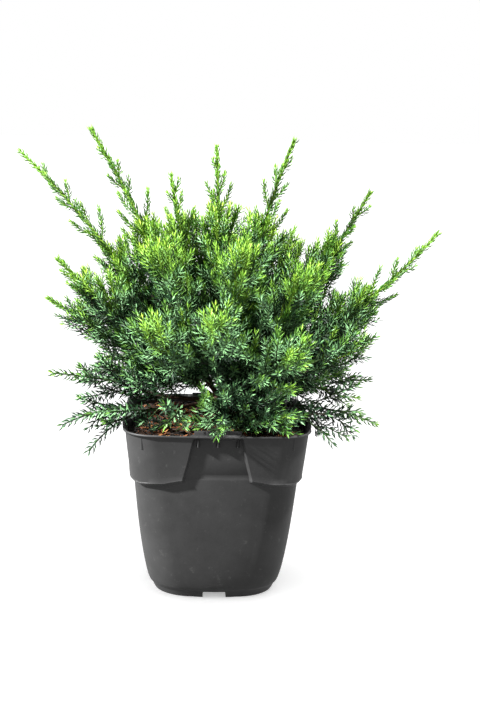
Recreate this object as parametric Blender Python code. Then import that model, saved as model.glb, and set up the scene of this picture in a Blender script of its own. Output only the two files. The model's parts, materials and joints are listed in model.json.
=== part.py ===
"""A young blue pfitzer juniper in its square nursery pot, 240 mm from the pot's feet to the highest tip.

Metres, +Z up. The origin is the centre of the pot's underside, +X runs to the right and +Y to the back.

Every bough leaves one fork just above the soil. The room round that fork is shared out like the segments
of an orange: each mass of foliage owns the directions that lie nearest its own heading, so neighbouring
masses never meet. Inside its share a mass grows by one seeded rule. A stem runs on from the bough's tip,
and side shoots leave it a golden angle apart and get shorter towards its tip. Each side shoot is a flat
blade whose teeth are its leaves. Where a stem runs on past the crown as a leader, single awl-shaped leaves
lie close along it. Whatever would leave the share or touch the pot is shortened, turned or left out.
"""

import itertools
import math
import random
from dataclasses import dataclass

import bmesh
import bpy
from mathutils import Matrix, Vector

MM = 0.001
GAP = 0.3 * MM
WELD = 0.004 * MM
GOLDEN_ANGLE = math.radians(137.5)

# The pot: a tapered square cup with a thicker collar, a label recess in each side and a small lip
POT_HEIGHT = 91 * MM
LIP_HALF = 48.2 * MM
LIP_UNDERSIDE = 89.2 * MM
COLLAR_TOP = 88.4 * MM
COLLAR_TOP_HALF = 46.9 * MM
COLLAR_BOTTOM = 64.5 * MM
COLLAR_BOTTOM_HALF = 44.5 * MM
BODY_TOP = 62 * MM
BODY_TOP_HALF = 42.4 * MM
BODY_SLOPE = 0.083
BODY_CURVE = 0.62
SEAM = 4.5 * MM
SEAM_HALF = 33.3 * MM
FOOT_HALF = 31.4 * MM
BODY_LEVELS = (10 * MM, 22 * MM, 40 * MM)
INSIDE_LEVEL = 22 * MM
CORNER_AT_FOOT = 20 * MM
CORNER_AT_LIP = 16.4 * MM
CORNER_STEPS = 4
SIDE_BULGE = 0.6 * MM
WALL = 1.3 * MM
FLOOR_TOP = 6 * MM
RECESS_TOP_HALF = 13 * MM
RECESS_BOTTOM_HALF = 17.7 * MM
RECESS_BEVEL = 0.8 * MM
TAB_HALF = 12 * MM
TAB_TOP = 92.7 * MM
TAB_THICKNESS = 1.04 * MM
GUSSET_OFFSETS = (-10 * MM, 0, 10 * MM)
GUSSET_WIDTH = 0.9 * MM
GUSSET_DROP = 4.4 * MM
RIB_ANGLES = (math.radians(30), math.radians(60))
RIB_SIZE = (1.4 * MM, 0.8 * MM, 6.8 * MM)
CHANNEL_HALF = 6 * MM
CHANNEL_HEIGHT = 3.6 * MM
CHANNEL_START = 12 * MM
DRAIN_RADIUS = 3 * MM
DRAIN_OFFSET = 22 * MM

# The soil: a block that fills the pot, with bark chips on its mounded top
SOIL_EDGE = 87 * MM
SOIL_TOP = 88.4 * MM
SOIL_ROUGHNESS = 0.5 * MM
SOIL_RINGS = (0.82, 0.62, 0.42, 0.24)
CHIP_COUNT = 10
CHIP_LENGTH = (7 * MM, 12 * MM)
CHIP_RING = (14 * MM, 36 * MM)
CHIP_THICKNESS = 1.6 * MM
CHIP_LIFT = 0.3 * MM
CHIP_TILT = 0.3

# The trunk: a short stem with a root flare, swollen at the fork where every bough leaves it
TRUNK_FOOT = Vector((1 * MM, 1 * MM, SOIL_TOP + GAP))
FORK = Vector((3 * MM, 3 * MM, 97 * MM))
FORK_RADIUS = 7 * MM
FLARE_RADIUS = 7.6 * MM
NECK_RADIUS = 5 * MM
FLARE_LOBES = 5
FLARE_RINGS = (
    (0, FLARE_RADIUS, 0.9 * MM),
    (0.12, FLARE_RADIUS * 0.8, 0.7 * MM),
    (0.32, NECK_RADIUS, 0.25 * MM),
)
FORK_RING_ANGLES = (128, 110, 90, 65, 40, 14)
TRUNK_SIDES = 12

# The boughs
BOUGH_SIDES = 5
BOUGH_RADIUS = 1.15 * MM
BOUGH_TIP_RADIUS = 0.85 * MM
BOUGH_SEGMENTS = 2

# The foliage: the room it keeps to, its stems, its sprays and its leaves
ATTEMPTS = 6
CLEARANCE = 0.2 * MM
POT_MARGIN = 1.2 * MM
ROUNDING = 1e-7
STEM_RADIUS = 1.0 * MM
STEM_TIP_RADIUS = 0.35 * MM
STEM_SEGMENTS = 3
STEM_SIDES = 3
BLEND = 20 * MM
SPRAYS_START = 5 * MM
SPRAYS_END = 9 * MM
SPRAY_SPACING = 8.7 * MM
FEWEST_SPRAYS = 4
SPRAY_LONGEST = 28 * MM
SPRAY_RIB = 0.8 * MM
SPRAY_THICKNESS = 0.9 * MM
SPRAY_TEETH = 2
SPRAY_BARE = 0.3
SPRAY_SHORTENING = 0.45
TOOTH_SHARE = 0.45
TOOTH_SHORTENING = 0.3
LEAVING_ANGLE = (math.radians(50), math.radians(34))
LENGTHS_TRIED = (1, 0.8, 0.62, 0.45)
SWINGS_TRIED = (0, math.radians(40), math.radians(-40), math.radians(90), math.radians(-90))
LEAF_LENGTH = 10.5 * MM
LEAF_WIDTH = 2.4 * MM
LEAF_THICKNESS = 1.4 * MM
LEAF_WAIST = 0.36
LEAF_ANGLE = math.radians(42)
LEADER_START = 6 * MM
LEADER_LEAF_ANGLE = math.radians(26)
LEADER_LEAF_SPACING = 6 * MM

# The colours: leaves turn from blue-green near the pot to lime at the top
BARK_COLOUR = (0.16, 0.10, 0.06)
LOW_LEAF_COLOUR = (0.12, 0.27, 0.08)
HIGH_LEAF_COLOUR = (0.19, 0.36, 0.05)


@dataclass(frozen=True)
class Mass:
    """One mass of foliage, by where its stem ends as seen from the fork.

    azimuth is in degrees round the pot, 0 to the right and 90 to the back, elevation in degrees above level.
    reach runs from the fork to the stem's tip and crown to where its side shoots end. The stem starts arch
    degrees higher than it ends.
    """

    name: str
    azimuth: float
    elevation: float
    reach: float
    crown: float
    arch: float = 0


@dataclass(frozen=True)
class Bough:
    """One limb from the fork, its length from the fork's centre, and the masses that it carries."""

    name: str
    length: float
    masses: tuple


BOUGHS = (
    Bough("left_upper", 33 * MM, (
        Mass("far_left_leader", 172, 50, 170 * MM, 100 * MM, 3),
        Mass("left_leader", 184, 64, 159 * MM, 104 * MM, 2),
    )),
    Bough("left_rising", 30 * MM, (
        Mass("left_high", 188, 41.5, 116 * MM, 100 * MM, -2),
        Mass("left_mid", 171, 29, 108 * MM, 92 * MM),
    )),
    Bough("left_spreading", 30 * MM, (
        Mass("left_low", 184, 10, 91 * MM, 76 * MM, 2),
        Mass("left_droop", 197, -5, 87 * MM, 74 * MM, 7),
    )),
    Bough("left_front_low", 24 * MM, (
        Mass("left_front_droop", 209, -13, 80 * MM, 68 * MM, 16),
        Mass("front_left_low", 233, -4, 50 * MM, 50 * MM, 8),
    )),
    Bough("right_upper", 33 * MM, (
        Mass("far_right_leader", 351, 40.5, 145 * MM, 98 * MM, -4),
        Mass("right_front_mid", 336, 27, 94 * MM, 88 * MM),
    )),
    Bough("right_back_upper", 33 * MM, (
        Mass("right_low_leader", 3, 56, 136 * MM, 104 * MM, -2),
        Mass("back_right_leader", 36, 62, 103 * MM, 96 * MM),
    )),
    Bough("right_lead", 34 * MM, (
        Mass("right_leader", 341, 75.5, 144 * MM, 100 * MM, 3),
    )),
    Bough("right_rising", 30 * MM, (
        Mass("right_mid", 9, 31, 101 * MM, 94 * MM),
        Mass("right_low", 358, 10, 79 * MM, 70 * MM, 2),
    )),
    Bough("right_drooping", 28 * MM, (
        Mass("right_droop", 345, -4, 83 * MM, 72 * MM, 6),
        Mass("right_front_droop", 325, -10, 69 * MM, 62 * MM, 13),
    )),
    Bough("top", 34 * MM, (
        Mass("top_leader", 134, 87, 135 * MM, 103 * MM),
        Mass("thin_leader", 142, 73, 124 * MM, 100 * MM, -2),
    )),
    Bough("front_left", 28 * MM, (
        Mass("front_left_high", 222, 60, 98 * MM, 98 * MM),
        Mass("front_left", 231, 37, 82 * MM, 82 * MM),
    )),
    Bough("front_centre", 28 * MM, (
        Mass("front_top", 282, 66, 94 * MM, 94 * MM),
        Mass("front_centre", 264, 43, 80 * MM, 80 * MM),
    )),
    Bough("front_right", 28 * MM, (
        Mass("front_right_high", 317, 52, 94 * MM, 94 * MM),
        Mass("front_right", 302, 29, 78 * MM, 78 * MM),
    )),
    Bough("front_low", 24 * MM, (
        Mass("front_centre_low", 266, -5, 57 * MM, 54 * MM, 8),
        Mass("front_right_low", 299, -2, 64 * MM, 60 * MM, 6),
    )),
    Bough("back_left", 30 * MM, (
        Mass("back_left", 141, 38, 92 * MM, 92 * MM),
        Mass("back_left_low", 147, 6, 84 * MM, 82 * MM, 3),
    )),
    Bough("back", 30 * MM, (
        Mass("back_high", 78, 56, 98 * MM, 98 * MM),
        Mass("back", 96, 34, 92 * MM, 92 * MM),
    )),
    Bough("back_right", 30 * MM, (
        Mass("back_right", 46, 36, 92 * MM, 92 * MM),
        Mass("back_right_low", 36, 8, 82 * MM, 80 * MM, 3),
    )),
    Bough("back_low", 28 * MM, (
        Mass("back_low", 90, 4, 84 * MM, 82 * MM, 3),
    )),
)


def clear_scene():
    for obj in list(bpy.data.objects):
        bpy.data.objects.remove(obj)


def material(name, colour, roughness, metallic=0.0):
    made = bpy.data.materials.new(name)
    made.use_nodes = True
    shader = made.node_tree.nodes["Principled BSDF"]
    shader.inputs["Base Color"].default_value = (*colour, 1)
    shader.inputs["Roughness"].default_value = roughness
    shader.inputs["Metallic"].default_value = metallic
    return made


def solid_object(name, piece, finish=None):
    """An object from (vertices, faces), in triangles with their faces turned outwards."""
    vertices, faces = piece
    mesh = bpy.data.meshes.new(name)
    mesh.from_pydata(vertices, [], faces)
    shape = bmesh.new()
    shape.from_mesh(mesh)
    bmesh.ops.triangulate(shape, faces=shape.faces)
    bmesh.ops.recalc_face_normals(shape, faces=shape.faces)
    shape.to_mesh(mesh)
    shape.free()
    obj = bpy.data.objects.new(name, mesh)
    bpy.context.scene.collection.objects.link(obj)
    if finish:
        mesh.materials.append(finish)
    return obj


def combined(obj, pieces, operation, solver="EXACT"):
    """The mesh of obj after one Boolean with a collection of the pieces, which is then removed."""
    others = bpy.data.collections.new(obj.name + "_pieces")
    bpy.context.scene.collection.children.link(others)
    for index, piece in enumerate(pieces):
        other = solid_object(f"{obj.name}_{index}", piece)
        bpy.context.scene.collection.objects.unlink(other)
        others.objects.link(other)
    boolean = obj.modifiers.new(operation.title(), "BOOLEAN")
    boolean.operation = operation
    boolean.operand_type = "COLLECTION"
    boolean.collection = others
    boolean.solver = solver
    graph = bpy.context.evaluated_depsgraph_get()
    mesh = bpy.data.meshes.new_from_object(obj.evaluated_get(graph))
    obj.modifiers.remove(boolean)
    for other in list(others.objects):
        bpy.data.objects.remove(other)
    bpy.data.collections.remove(others)
    return mesh


def islands(shape):
    """The separate closed surfaces of a bmesh, as lists of faces."""
    left = set(shape.faces)
    while left:
        front = [left.pop()]
        found = list(front)
        while front:
            near = {f for edge in front.pop().edges for f in edge.link_faces} & left
            left -= near
            front.extend(near)
            found.extend(near)
        yield found


def enclosed(faces):
    """The signed volume inside these faces."""
    total = 0.0
    for face in faces:
        corners = [vertex.co for vertex in face.verts]
        for second, third in zip(corners[1:], corners[2:]):
            total += corners[0].dot(second.cross(third)) / 6
    return total


def keep_largest(mesh):
    """Drops loose scraps and sealed hollows, and says whether what stays is a closed surface."""
    shape = bmesh.new()
    shape.from_mesh(mesh)
    surfaces = sorted(islands(shape), key=enclosed)
    for faces in surfaces[:-1]:
        bmesh.ops.delete(shape, geom=faces, context="FACES")
    bmesh.ops.triangulate(shape, faces=shape.faces)
    bmesh.ops.remove_doubles(shape, verts=shape.verts, dist=WELD)
    bmesh.ops.dissolve_degenerate(shape, edges=shape.edges, dist=WELD)
    closed = bool(surfaces) and all(edge.is_manifold for edge in shape.edges)
    shape.to_mesh(mesh)
    shape.free()
    return closed


def fused(obj, pieces):
    """Joins pieces that run into each other to obj, and says whether that closed."""
    for solver in ("EXACT", "MANIFOLD"):
        mesh = combined(obj, pieces, "UNION", solver)
        if keep_largest(mesh):
            obj.data = mesh
            return True
    return False


def loft(loops):
    """A closed surface through loops of equally many points, with a flat cap on the first and the last."""
    count = len(loops[0])
    vertices = [point for loop in loops for point in loop]
    faces = [list(range(count)), list(range(len(vertices) - count, len(vertices)))]
    for level in range(len(loops) - 1):
        for index in range(count):
            after = (index + 1) % count
            low = level * count
            high = low + count
            faces.append([low + index, low + after, high + after, high + index])
    return vertices, faces


def box(size, place):
    """A box by its three side lengths, set in place by a matrix."""
    square = ((-0.5, -0.5), (0.5, -0.5), (0.5, 0.5), (-0.5, 0.5))
    corners = [(x * size[0], y * size[1], z * size[2]) for z in (-0.5, 0.5) for x, y in square]
    points = [place @ Vector(corner) for corner in corners]
    return loft([points[:4], points[4:]])


def quarter_turns():
    return [Matrix.Rotation(turn * math.pi / 2, 4, "Z") for turn in range(4)]


# The pot and its soil


def body_half(z):
    """Half the pot's width at height z, without the collar."""
    if z > BODY_TOP:
        return BODY_TOP_HALF + BODY_SLOPE * (z - BODY_TOP)
    share = (z - SEAM) / (BODY_TOP - SEAM)
    return SEAM_HALF + (BODY_TOP_HALF - SEAM_HALF) * share**BODY_CURVE


def pot_loop(z, half, recess=0.0, inset=0.0):
    """The pot's outline at height z: a square with round corners and a sunk stretch in each side."""
    share = z / POT_HEIGHT
    corner = CORNER_AT_FOOT + (CORNER_AT_LIP - CORNER_AT_FOOT) * share - inset
    straight = half - corner
    collar_share = min(max((z - COLLAR_BOTTOM) / (COLLAR_TOP - COLLAR_BOTTOM), 0), 1)
    edge = RECESS_BOTTOM_HALF + (RECESS_TOP_HALF - RECESS_BOTTOM_HALF) * collar_share + inset
    edge = min(edge, straight - RECESS_BEVEL)
    inner = edge - RECESS_BEVEL
    side = [(0, -straight), (0, -edge), (recess, -inner), (recess, inner), (0, edge), (0, straight)]
    points = [Vector((half - sunk + SIDE_BULGE * (1 - (y / straight) ** 2), y, z)) for sunk, y in side]
    for step in range(1, CORNER_STEPS):
        angle = step * math.pi / 2 / CORNER_STEPS
        points.append(Vector((straight + corner * math.cos(angle), straight + corner * math.sin(angle), z)))
    return [turn @ point for turn in quarter_turns() for point in points]


def inner_loops(inset):
    """The inside of the pot from its floor up, as loops that stand inset behind the outer wall."""
    loops = [pot_loop(z, body_half(z) - inset, 0, inset) for z in (FLOOR_TOP, INSIDE_LEVEL, BODY_TOP)]
    for z, half in ((COLLAR_BOTTOM, COLLAR_BOTTOM_HALF), (COLLAR_TOP, COLLAR_TOP_HALF)):
        loops.append(pot_loop(z, half - inset, half - body_half(z), inset))
    return loops


def pot_extras():
    """What stands out of the pot's wall: the tabs, gussets and ribs under and behind the lip."""
    recess_face = body_half(COLLAR_TOP)
    tab_height = TAB_TOP - COLLAR_TOP
    corner = (CORNER_AT_LIP + WALL / 2) * 1.01
    extras = []
    for turn in quarter_turns():
        middle = Vector((recess_face - WALL / 2, 0, COLLAR_TOP + tab_height / 2))
        extras.append(box((TAB_THICKNESS, 2 * TAB_HALF, tab_height), turn @ Matrix.Translation(middle)))
        for offset in GUSSET_OFFSETS:
            low = Vector((recess_face - WALL / 2, offset, COLLAR_TOP - GUSSET_DROP))
            high = low + Vector((0, 0, GUSSET_DROP + WALL))
            profile = (low, high, Vector((LIP_HALF - WALL, offset, LIP_UNDERSIDE + WALL / 3)))
            across = Vector((0, GUSSET_WIDTH / 2, 0))
            faces = [[turn @ (point + shift) for point in profile] for shift in (across, -across)]
            extras.append(loft(faces))
        for angle in RIB_ANGLES:
            centre = COLLAR_TOP_HALF - corner
            middle = Vector((centre, centre, LIP_UNDERSIDE + WALL / 4 - RIB_SIZE[2] / 2))
            middle += Vector((math.cos(angle), math.sin(angle), 0)) * corner
            extras.append(box(RIB_SIZE, turn @ Matrix.Translation(middle) @ Matrix.Rotation(angle, 4, "Z")))
    return extras


def make_pot(finish):
    foot = ((0, FOOT_HALF), (SEAM / 4, (FOOT_HALF + SEAM_HALF) / 2), (SEAM, SEAM_HALF))
    outer = [pot_loop(z, half) for z, half in foot]
    outer += [pot_loop(z, body_half(z)) for z in (*BODY_LEVELS, BODY_TOP)]
    for z, half in ((COLLAR_BOTTOM, COLLAR_BOTTOM_HALF), (COLLAR_TOP, COLLAR_TOP_HALF)):
        outer.append(pot_loop(z, half, half - body_half(z)))
    outer += [pot_loop(LIP_UNDERSIDE, LIP_HALF), pot_loop(POT_HEIGHT, LIP_HALF)]
    lip_inside = LIP_HALF - WALL
    inner = inner_loops(WALL)
    inner.append(pot_loop(POT_HEIGHT, lip_inside, lip_inside - body_half(COLLAR_TOP) + WALL, WALL))
    pot = solid_object("pot", loft(outer + inner[::-1]), finish)
    pot.data = combined(pot, pot_extras(), "UNION")
    cutters = []
    for turn in quarter_turns():
        length = FOOT_HALF * 1.2 - CHANNEL_START
        middle = Vector((CHANNEL_START + length / 2, 0, 0))
        cutters.append(box((length, 2 * CHANNEL_HALF, 2 * CHANNEL_HEIGHT), turn @ Matrix.Translation(middle)))
        hole = [Vector((DRAIN_OFFSET + DRAIN_RADIUS * math.cos(a), DRAIN_RADIUS * math.sin(a), 0))
                for a in (k * math.pi / 4 for k in range(8))]
        lift = Vector((0, 0, FLOOR_TOP * 1.5))
        cutters.append(loft([[turn @ point for point in hole], [turn @ (point + lift) for point in hole]]))
    pot.data = combined(pot, cutters, "DIFFERENCE")
    return pot


def soil_height(share):
    """The soil's height where share of the way from the middle of its top to its edge."""
    return SOIL_EDGE + (SOIL_TOP - SOIL_EDGE) * min((1 - share**2) / (1 - SOIL_RINGS[-1] ** 2), 1)


def bark_chips(rng):
    chips = []
    for index in range(CHIP_COUNT):
        angle = index * GOLDEN_ANGLE
        distance = rng.uniform(*CHIP_RING)
        length = rng.uniform(*CHIP_LENGTH)
        size = (length, length * rng.uniform(0.3, 0.5), CHIP_THICKNESS)
        height = soil_height(distance / LIP_HALF) + CHIP_LIFT
        place = Matrix.Translation((distance * math.cos(angle), distance * math.sin(angle), height))
        tilts = [Matrix.Rotation(rng.uniform(-CHIP_TILT, CHIP_TILT), 4, axis) for axis in "XY"]
        turn = Matrix.Rotation(rng.uniform(0, math.pi), 4, "Z")
        chips.append(box(size, place @ turn @ tilts[0] @ tilts[1]))
    return chips


def make_soil(finish):
    rng = random.Random("soil")
    walls = inner_loops(WALL + GAP)
    walls[0] = [point + Vector((0, 0, GAP)) for point in walls[0]]
    share = (SOIL_EDGE - COLLAR_BOTTOM) / (COLLAR_TOP - COLLAR_BOTTOM)
    edge = [low.lerp(high, share) for low, high in zip(walls[-2], walls[-1])]
    loops = walls[:-1] + [edge]
    for ring in SOIL_RINGS:
        rough = 0 if ring == SOIL_RINGS[-1] else SOIL_ROUGHNESS
        heights = [soil_height(ring) + rng.uniform(-rough, rough) for _ in edge]
        loops.append([Vector((p.x * ring, p.y * ring, height)) for p, height in zip(edge, heights)])
    soil = solid_object("soil", loft(loops), finish)
    fused(soil, bark_chips(rng))
    return soil


# The trunk and boughs


def make_trunk(finish):
    """Rings from the flat cut on the soil, through the neck, round the swollen fork."""
    height = FORK.z - TRUNK_FOOT.z
    rings = list(FLARE_RINGS)
    for polar in FORK_RING_ANGLES:
        angle = math.radians(polar)
        rings.append((1 + FORK_RADIUS * math.cos(angle) / height, FORK_RADIUS * math.sin(angle), 0))
    loops = []
    for share, radius, lobe in rings:
        middle = TRUNK_FOOT.lerp(FORK, min(share, 1))
        middle.z = TRUNK_FOOT.z + share * height
        loop = []
        for side in range(TRUNK_SIDES):
            angle = side * 2 * math.pi / TRUNK_SIDES
            out = radius + lobe * math.cos(FLARE_LOBES * angle)
            loop.append(middle + Vector((out * math.cos(angle), out * math.sin(angle), 0)))
        loops.append(loop)
    return solid_object("trunk", loft(loops), finish)


def limb(points, radii, sides):
    """A tapering tube through points, with a flat end across each end."""
    loops = []
    across = (points[-1] - points[0]).orthogonal().normalized()
    for index, (point, radius) in enumerate(zip(points, radii)):
        along = (points[min(index + 1, len(points) - 1)] - points[max(index - 1, 0)]).normalized()
        across = (across - along * across.dot(along)).normalized()
        up = along.cross(across)
        angles = [side * 2 * math.pi / sides for side in range(sides)]
        loops.append([point + radius * (across * math.cos(a) + up * math.sin(a)) for a in angles])
    return loft(loops)


def direction(azimuth, elevation):
    turn = math.radians(azimuth)
    rise = math.radians(elevation)
    return Vector((math.cos(rise) * math.cos(turn), math.cos(rise) * math.sin(turn), math.sin(rise)))


def heading(mass):
    """The direction that stands for a mass when the crown is shared out."""
    return direction(mass.azimuth, mass.elevation + mass.arch / 2)


def bough_heading(bough):
    return sum((direction(m.azimuth, m.elevation + m.arch) for m in bough.masses), Vector()).normalized()


def make_bough(bough, finish):
    out = bough_heading(bough)
    start = FORK_RADIUS + GAP
    shares = [step / BOUGH_SEGMENTS for step in range(BOUGH_SEGMENTS + 1)]
    points = [FORK + out * (start + (bough.length - start) * share) for share in shares]
    radii = [BOUGH_RADIUS + (BOUGH_TIP_RADIUS - BOUGH_RADIUS) * share for share in shares]
    return solid_object("bough_" + bough.name, limb(points, radii, BOUGH_SIDES), finish)


# The masses of foliage


def clear_of_pot(point):
    """Whether a point stays off the pot's wall and the soil."""
    sideways, outwards = sorted((abs(point.x), abs(point.y)))
    if outwards > LIP_HALF + SIDE_BULGE + POT_MARGIN:
        return True
    if outwards > body_half(POT_HEIGHT) - WALL - POT_MARGIN:
        top = TAB_TOP if sideways < TAB_HALF + POT_MARGIN else POT_HEIGHT
        return point.z > top + POT_MARGIN / 2
    return point.z > SOIL_TOP + 2 * POT_MARGIN


class Space:
    """One mass's share of the room round the fork, from its bough's tip outwards."""

    def __init__(self, mass, bough):
        self.own = heading(mass)
        others = [heading(m) for b in BOUGHS for m in b.masses if m.name != mass.name]
        self.walls = [(self.own - other).normalized() for other in others]
        self.nearest = bough.length + GAP

    def clearance(self, point):
        """The distance from a point to the nearest neighbour's share."""
        return min(wall.dot(point - FORK) for wall in self.walls)

    def holds(self, points):
        nearest = self.nearest - ROUNDING
        return all(
            self.clearance(point) >= CLEARANCE and (point - FORK).length >= nearest and clear_of_pot(point)
            for point in points
        )

    def fits(self, piece, start, end):
        """Whether a convex piece about the line from start to end lies wholly inside."""
        line = [start.lerp(end, step / 6) for step in range(7)]
        return self.holds(line + list(piece[0]))


def leaf(root, along, face, length):
    """An awl-shaped leaf of eight faces, widest a third of the way up."""
    side = along.cross(face).normalized() * LEAF_WIDTH / 2
    thick = face.normalized() * LEAF_THICKNESS / 2
    waist = root + along * length * LEAF_WAIST
    vertices = [root, waist + side, waist + thick, waist - side, waist - thick, root + along * length]
    sides = [(1, 2), (2, 3), (3, 4), (4, 1)]
    return vertices, [[0, a, b] for a, b in sides] + [[5, a, b] for a, b in sides]


def turned(along, angle, roll):
    """A unit vector that leaves along at an angle, rolled round it."""
    side = along.orthogonal().normalized()
    side.rotate(Matrix.Rotation(roll, 3, along))
    return (along * math.cos(angle) + side * math.sin(angle)).normalized()


class Stem:
    """A mass's stem in straight lengths, from the bough's tip over to the mass's own line and along that."""

    def __init__(self, mass, bough, space):
        self.first = bough.length + GAP
        self.step = (mass.reach - self.first) / STEM_SEGMENTS
        start = bough_heading(bough)
        share = 0.0
        while space.clearance(FORK + start * self.first) < STEM_RADIUS + CLEARANCE and share < 1:
            share += 0.02
            start = bough_heading(bough).lerp(space.own, share).normalized()
        self.points = []
        for index in range(STEM_SEGMENTS + 1):
            distance = self.first + self.step * index
            own = direction(mass.azimuth, mass.elevation + mass.arch * (1 - (distance / mass.reach) ** 3))
            over = min((distance - self.first) / BLEND, 1)
            out = start.lerp(own, over * over * (3 - 2 * over)).normalized()
            self.points.append(FORK + out * distance)

    def at(self, distance):
        """The point on the stem at a distance from the fork, and the way that the stem runs there."""
        index = min(int((distance - self.first) / self.step), STEM_SEGMENTS - 1)
        low, high = self.points[index : index + 2]
        share = (distance - self.first) / self.step - index
        return low.lerp(high, share), (high - low).normalized()

    def solid(self):
        shares = [index / STEM_SEGMENTS for index in range(STEM_SEGMENTS + 1)]
        radii = [STEM_RADIUS + (STEM_TIP_RADIUS - STEM_RADIUS) * share for share in shares]
        return limb(self.points, radii, STEM_SIDES)


def spray(root, along, face, length):
    """A side shoot and its leaves as one toothed blade, with the teeth pointing forwards on both edges."""
    side = along.cross(face).normalized()
    thick = face.normalized() * SPRAY_THICKNESS / 2
    edge = []
    for tooth in range(SPRAY_TEETH):
        low = length * (SPRAY_BARE + (1 - SPRAY_BARE) * tooth / SPRAY_TEETH)
        size = min(LEAF_LENGTH, length * TOOTH_SHARE) * (1 - TOOTH_SHORTENING * low / length)
        edge.append((low, SPRAY_RIB))
        edge.append((low + size * math.cos(LEAF_ANGLE), SPRAY_RIB + size * math.sin(LEAF_ANGLE)))
        edge.append((low + LEAF_WIDTH, SPRAY_RIB))
    outline = [root - along * SPRAY_RIB / 2]
    outline += [root + along * out + side * wide for out, wide in edge] + [root + along * length]
    outline += [root + along * out - side * wide for out, wide in reversed(edge)]
    return loft([[point + thick for point in outline], [point - thick for point in outline]])


def side_sprays(mass, bough, space, stem, rng):
    """Sprays a golden angle apart, shorter towards the stem's tip, that turn to where there is room."""
    first = bough.length + SPRAYS_START
    last = mass.crown - SPRAYS_END
    roll = rng.uniform(0, 2 * math.pi)
    pieces = []
    count = max(round((last - first) / SPRAY_SPACING), FEWEST_SPRAYS)
    for index in range(count):
        share = (index + 0.5) / count
        distance = first + (last - first) * share
        root, along = stem.at(distance)
        angle = LEAVING_ANGLE[0] + (LEAVING_ANGLE[1] - LEAVING_ANGLE[0]) * share
        face_roll = rng.uniform(0, math.pi)
        room = (mass.crown - distance) / math.cos(angle)
        wanted = min(SPRAY_LONGEST * (1 - SPRAY_SHORTENING * share), room)
        for part, swing in itertools.product(LENGTHS_TRIED, SWINGS_TRIED):
            out = turned(along, angle, roll + index * GOLDEN_ANGLE + swing)
            piece = spray(root, out, turned(out, math.pi / 2, face_roll), wanted * part)
            if space.fits(piece, root, root + out * wanted * part):
                pieces.append(piece)
                break
    return pieces


def leader_leaves(mass, space, stem, rng):
    """Leaves held close along the stem where it runs on past the crown, a golden angle apart."""
    pieces = []
    distance = mass.crown - LEADER_START
    roll = rng.uniform(0, math.pi)
    while distance < mass.reach - LEAF_LENGTH:
        root, along = stem.at(distance)
        out = turned(along, LEADER_LEAF_ANGLE, roll)
        base = root - out * STEM_TIP_RADIUS
        piece = leaf(base, out, along.cross(out), LEAF_LENGTH)
        if space.fits(piece, root, base + out * LEAF_LENGTH):
            pieces.append(piece)
        roll += GOLDEN_ANGLE
        distance += LEADER_LEAF_SPACING
    return pieces


def make_mass(mass, bough, finish):
    """A stem with its sprays and leaves, grown again from the next seed where they don't join cleanly."""
    space = Space(mass, bough)
    stem = Stem(mass, bough, space)
    obj = solid_object("foliage_" + mass.name, stem.solid(), finish)
    for attempt in range(ATTEMPTS):
        rng = random.Random(f"{mass.name} shoots {attempt}")
        if fused(obj, side_sprays(mass, bough, space, stem, rng) + leader_leaves(mass, space, stem, rng)):
            break
    return obj


def main():
    clear_scene()
    make_pot(material("Pot", (0.075, 0.078, 0.08), 0.55))
    make_soil(material("Soil", (0.10, 0.05, 0.025), 0.95))
    make_trunk(material("Trunk", BARK_COLOUR, 0.9))
    for bough in BOUGHS:
        make_bough(bough, material("Bough " + bough.name, BARK_COLOUR, 0.9))
        for mass in bough.masses:
            lime = max(mass.elevation, 0) / 90
            colour = [low + (high - low) * lime for low, high in zip(LOW_LEAF_COLOUR, HIGH_LEAF_COLOUR)]
            make_mass(mass, bough, material("Foliage " + mass.name, colour, 0.6))


main()
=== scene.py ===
"""A young blue pfitzer juniper in its square nursery pot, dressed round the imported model.

Metres, +Z up, +X to the right and -Y to the front. The foliage grows by the rule of the solids: every bough
leaves one fork, each mass owns the directions that lie nearest its own heading, and side shoots leave its
stem a golden angle apart. Here the shoots are closer together, they bear twiglets, and all of them bear
whorls of needles.
"""

import itertools
import json
import logging
import math
import random
from dataclasses import dataclass, field
from enum import Enum
from typing import Any, Iterable

import bmesh
import bpy
import numpy as np
from mathutils import Matrix, Vector, noise

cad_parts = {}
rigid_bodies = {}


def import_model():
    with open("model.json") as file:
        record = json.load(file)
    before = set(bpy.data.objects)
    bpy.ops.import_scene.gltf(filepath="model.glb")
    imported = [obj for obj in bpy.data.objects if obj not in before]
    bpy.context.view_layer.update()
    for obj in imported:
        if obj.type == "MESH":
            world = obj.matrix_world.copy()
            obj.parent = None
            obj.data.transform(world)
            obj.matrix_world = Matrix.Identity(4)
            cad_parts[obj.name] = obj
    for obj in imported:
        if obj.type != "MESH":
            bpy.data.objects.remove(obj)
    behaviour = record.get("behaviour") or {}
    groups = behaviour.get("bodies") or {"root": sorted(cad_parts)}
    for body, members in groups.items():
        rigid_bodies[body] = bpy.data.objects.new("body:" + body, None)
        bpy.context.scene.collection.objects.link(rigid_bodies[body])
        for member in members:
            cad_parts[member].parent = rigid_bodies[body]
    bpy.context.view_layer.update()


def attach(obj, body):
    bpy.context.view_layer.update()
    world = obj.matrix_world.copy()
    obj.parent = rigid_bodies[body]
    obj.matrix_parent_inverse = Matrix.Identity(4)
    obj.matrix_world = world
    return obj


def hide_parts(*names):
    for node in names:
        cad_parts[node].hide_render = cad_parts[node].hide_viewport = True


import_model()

MM = 0.001
GAP = 0.3 * MM
GOLDEN_ANGLE = math.radians(137.5)
BODY = "root"
report = logging.getLogger("juniper")


class Slot(Enum):
    """The material slots of the record."""

    POT = "pot"
    SOIL = "soil"
    BARK = "bark"
    FOLIAGE = "foliage"


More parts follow.
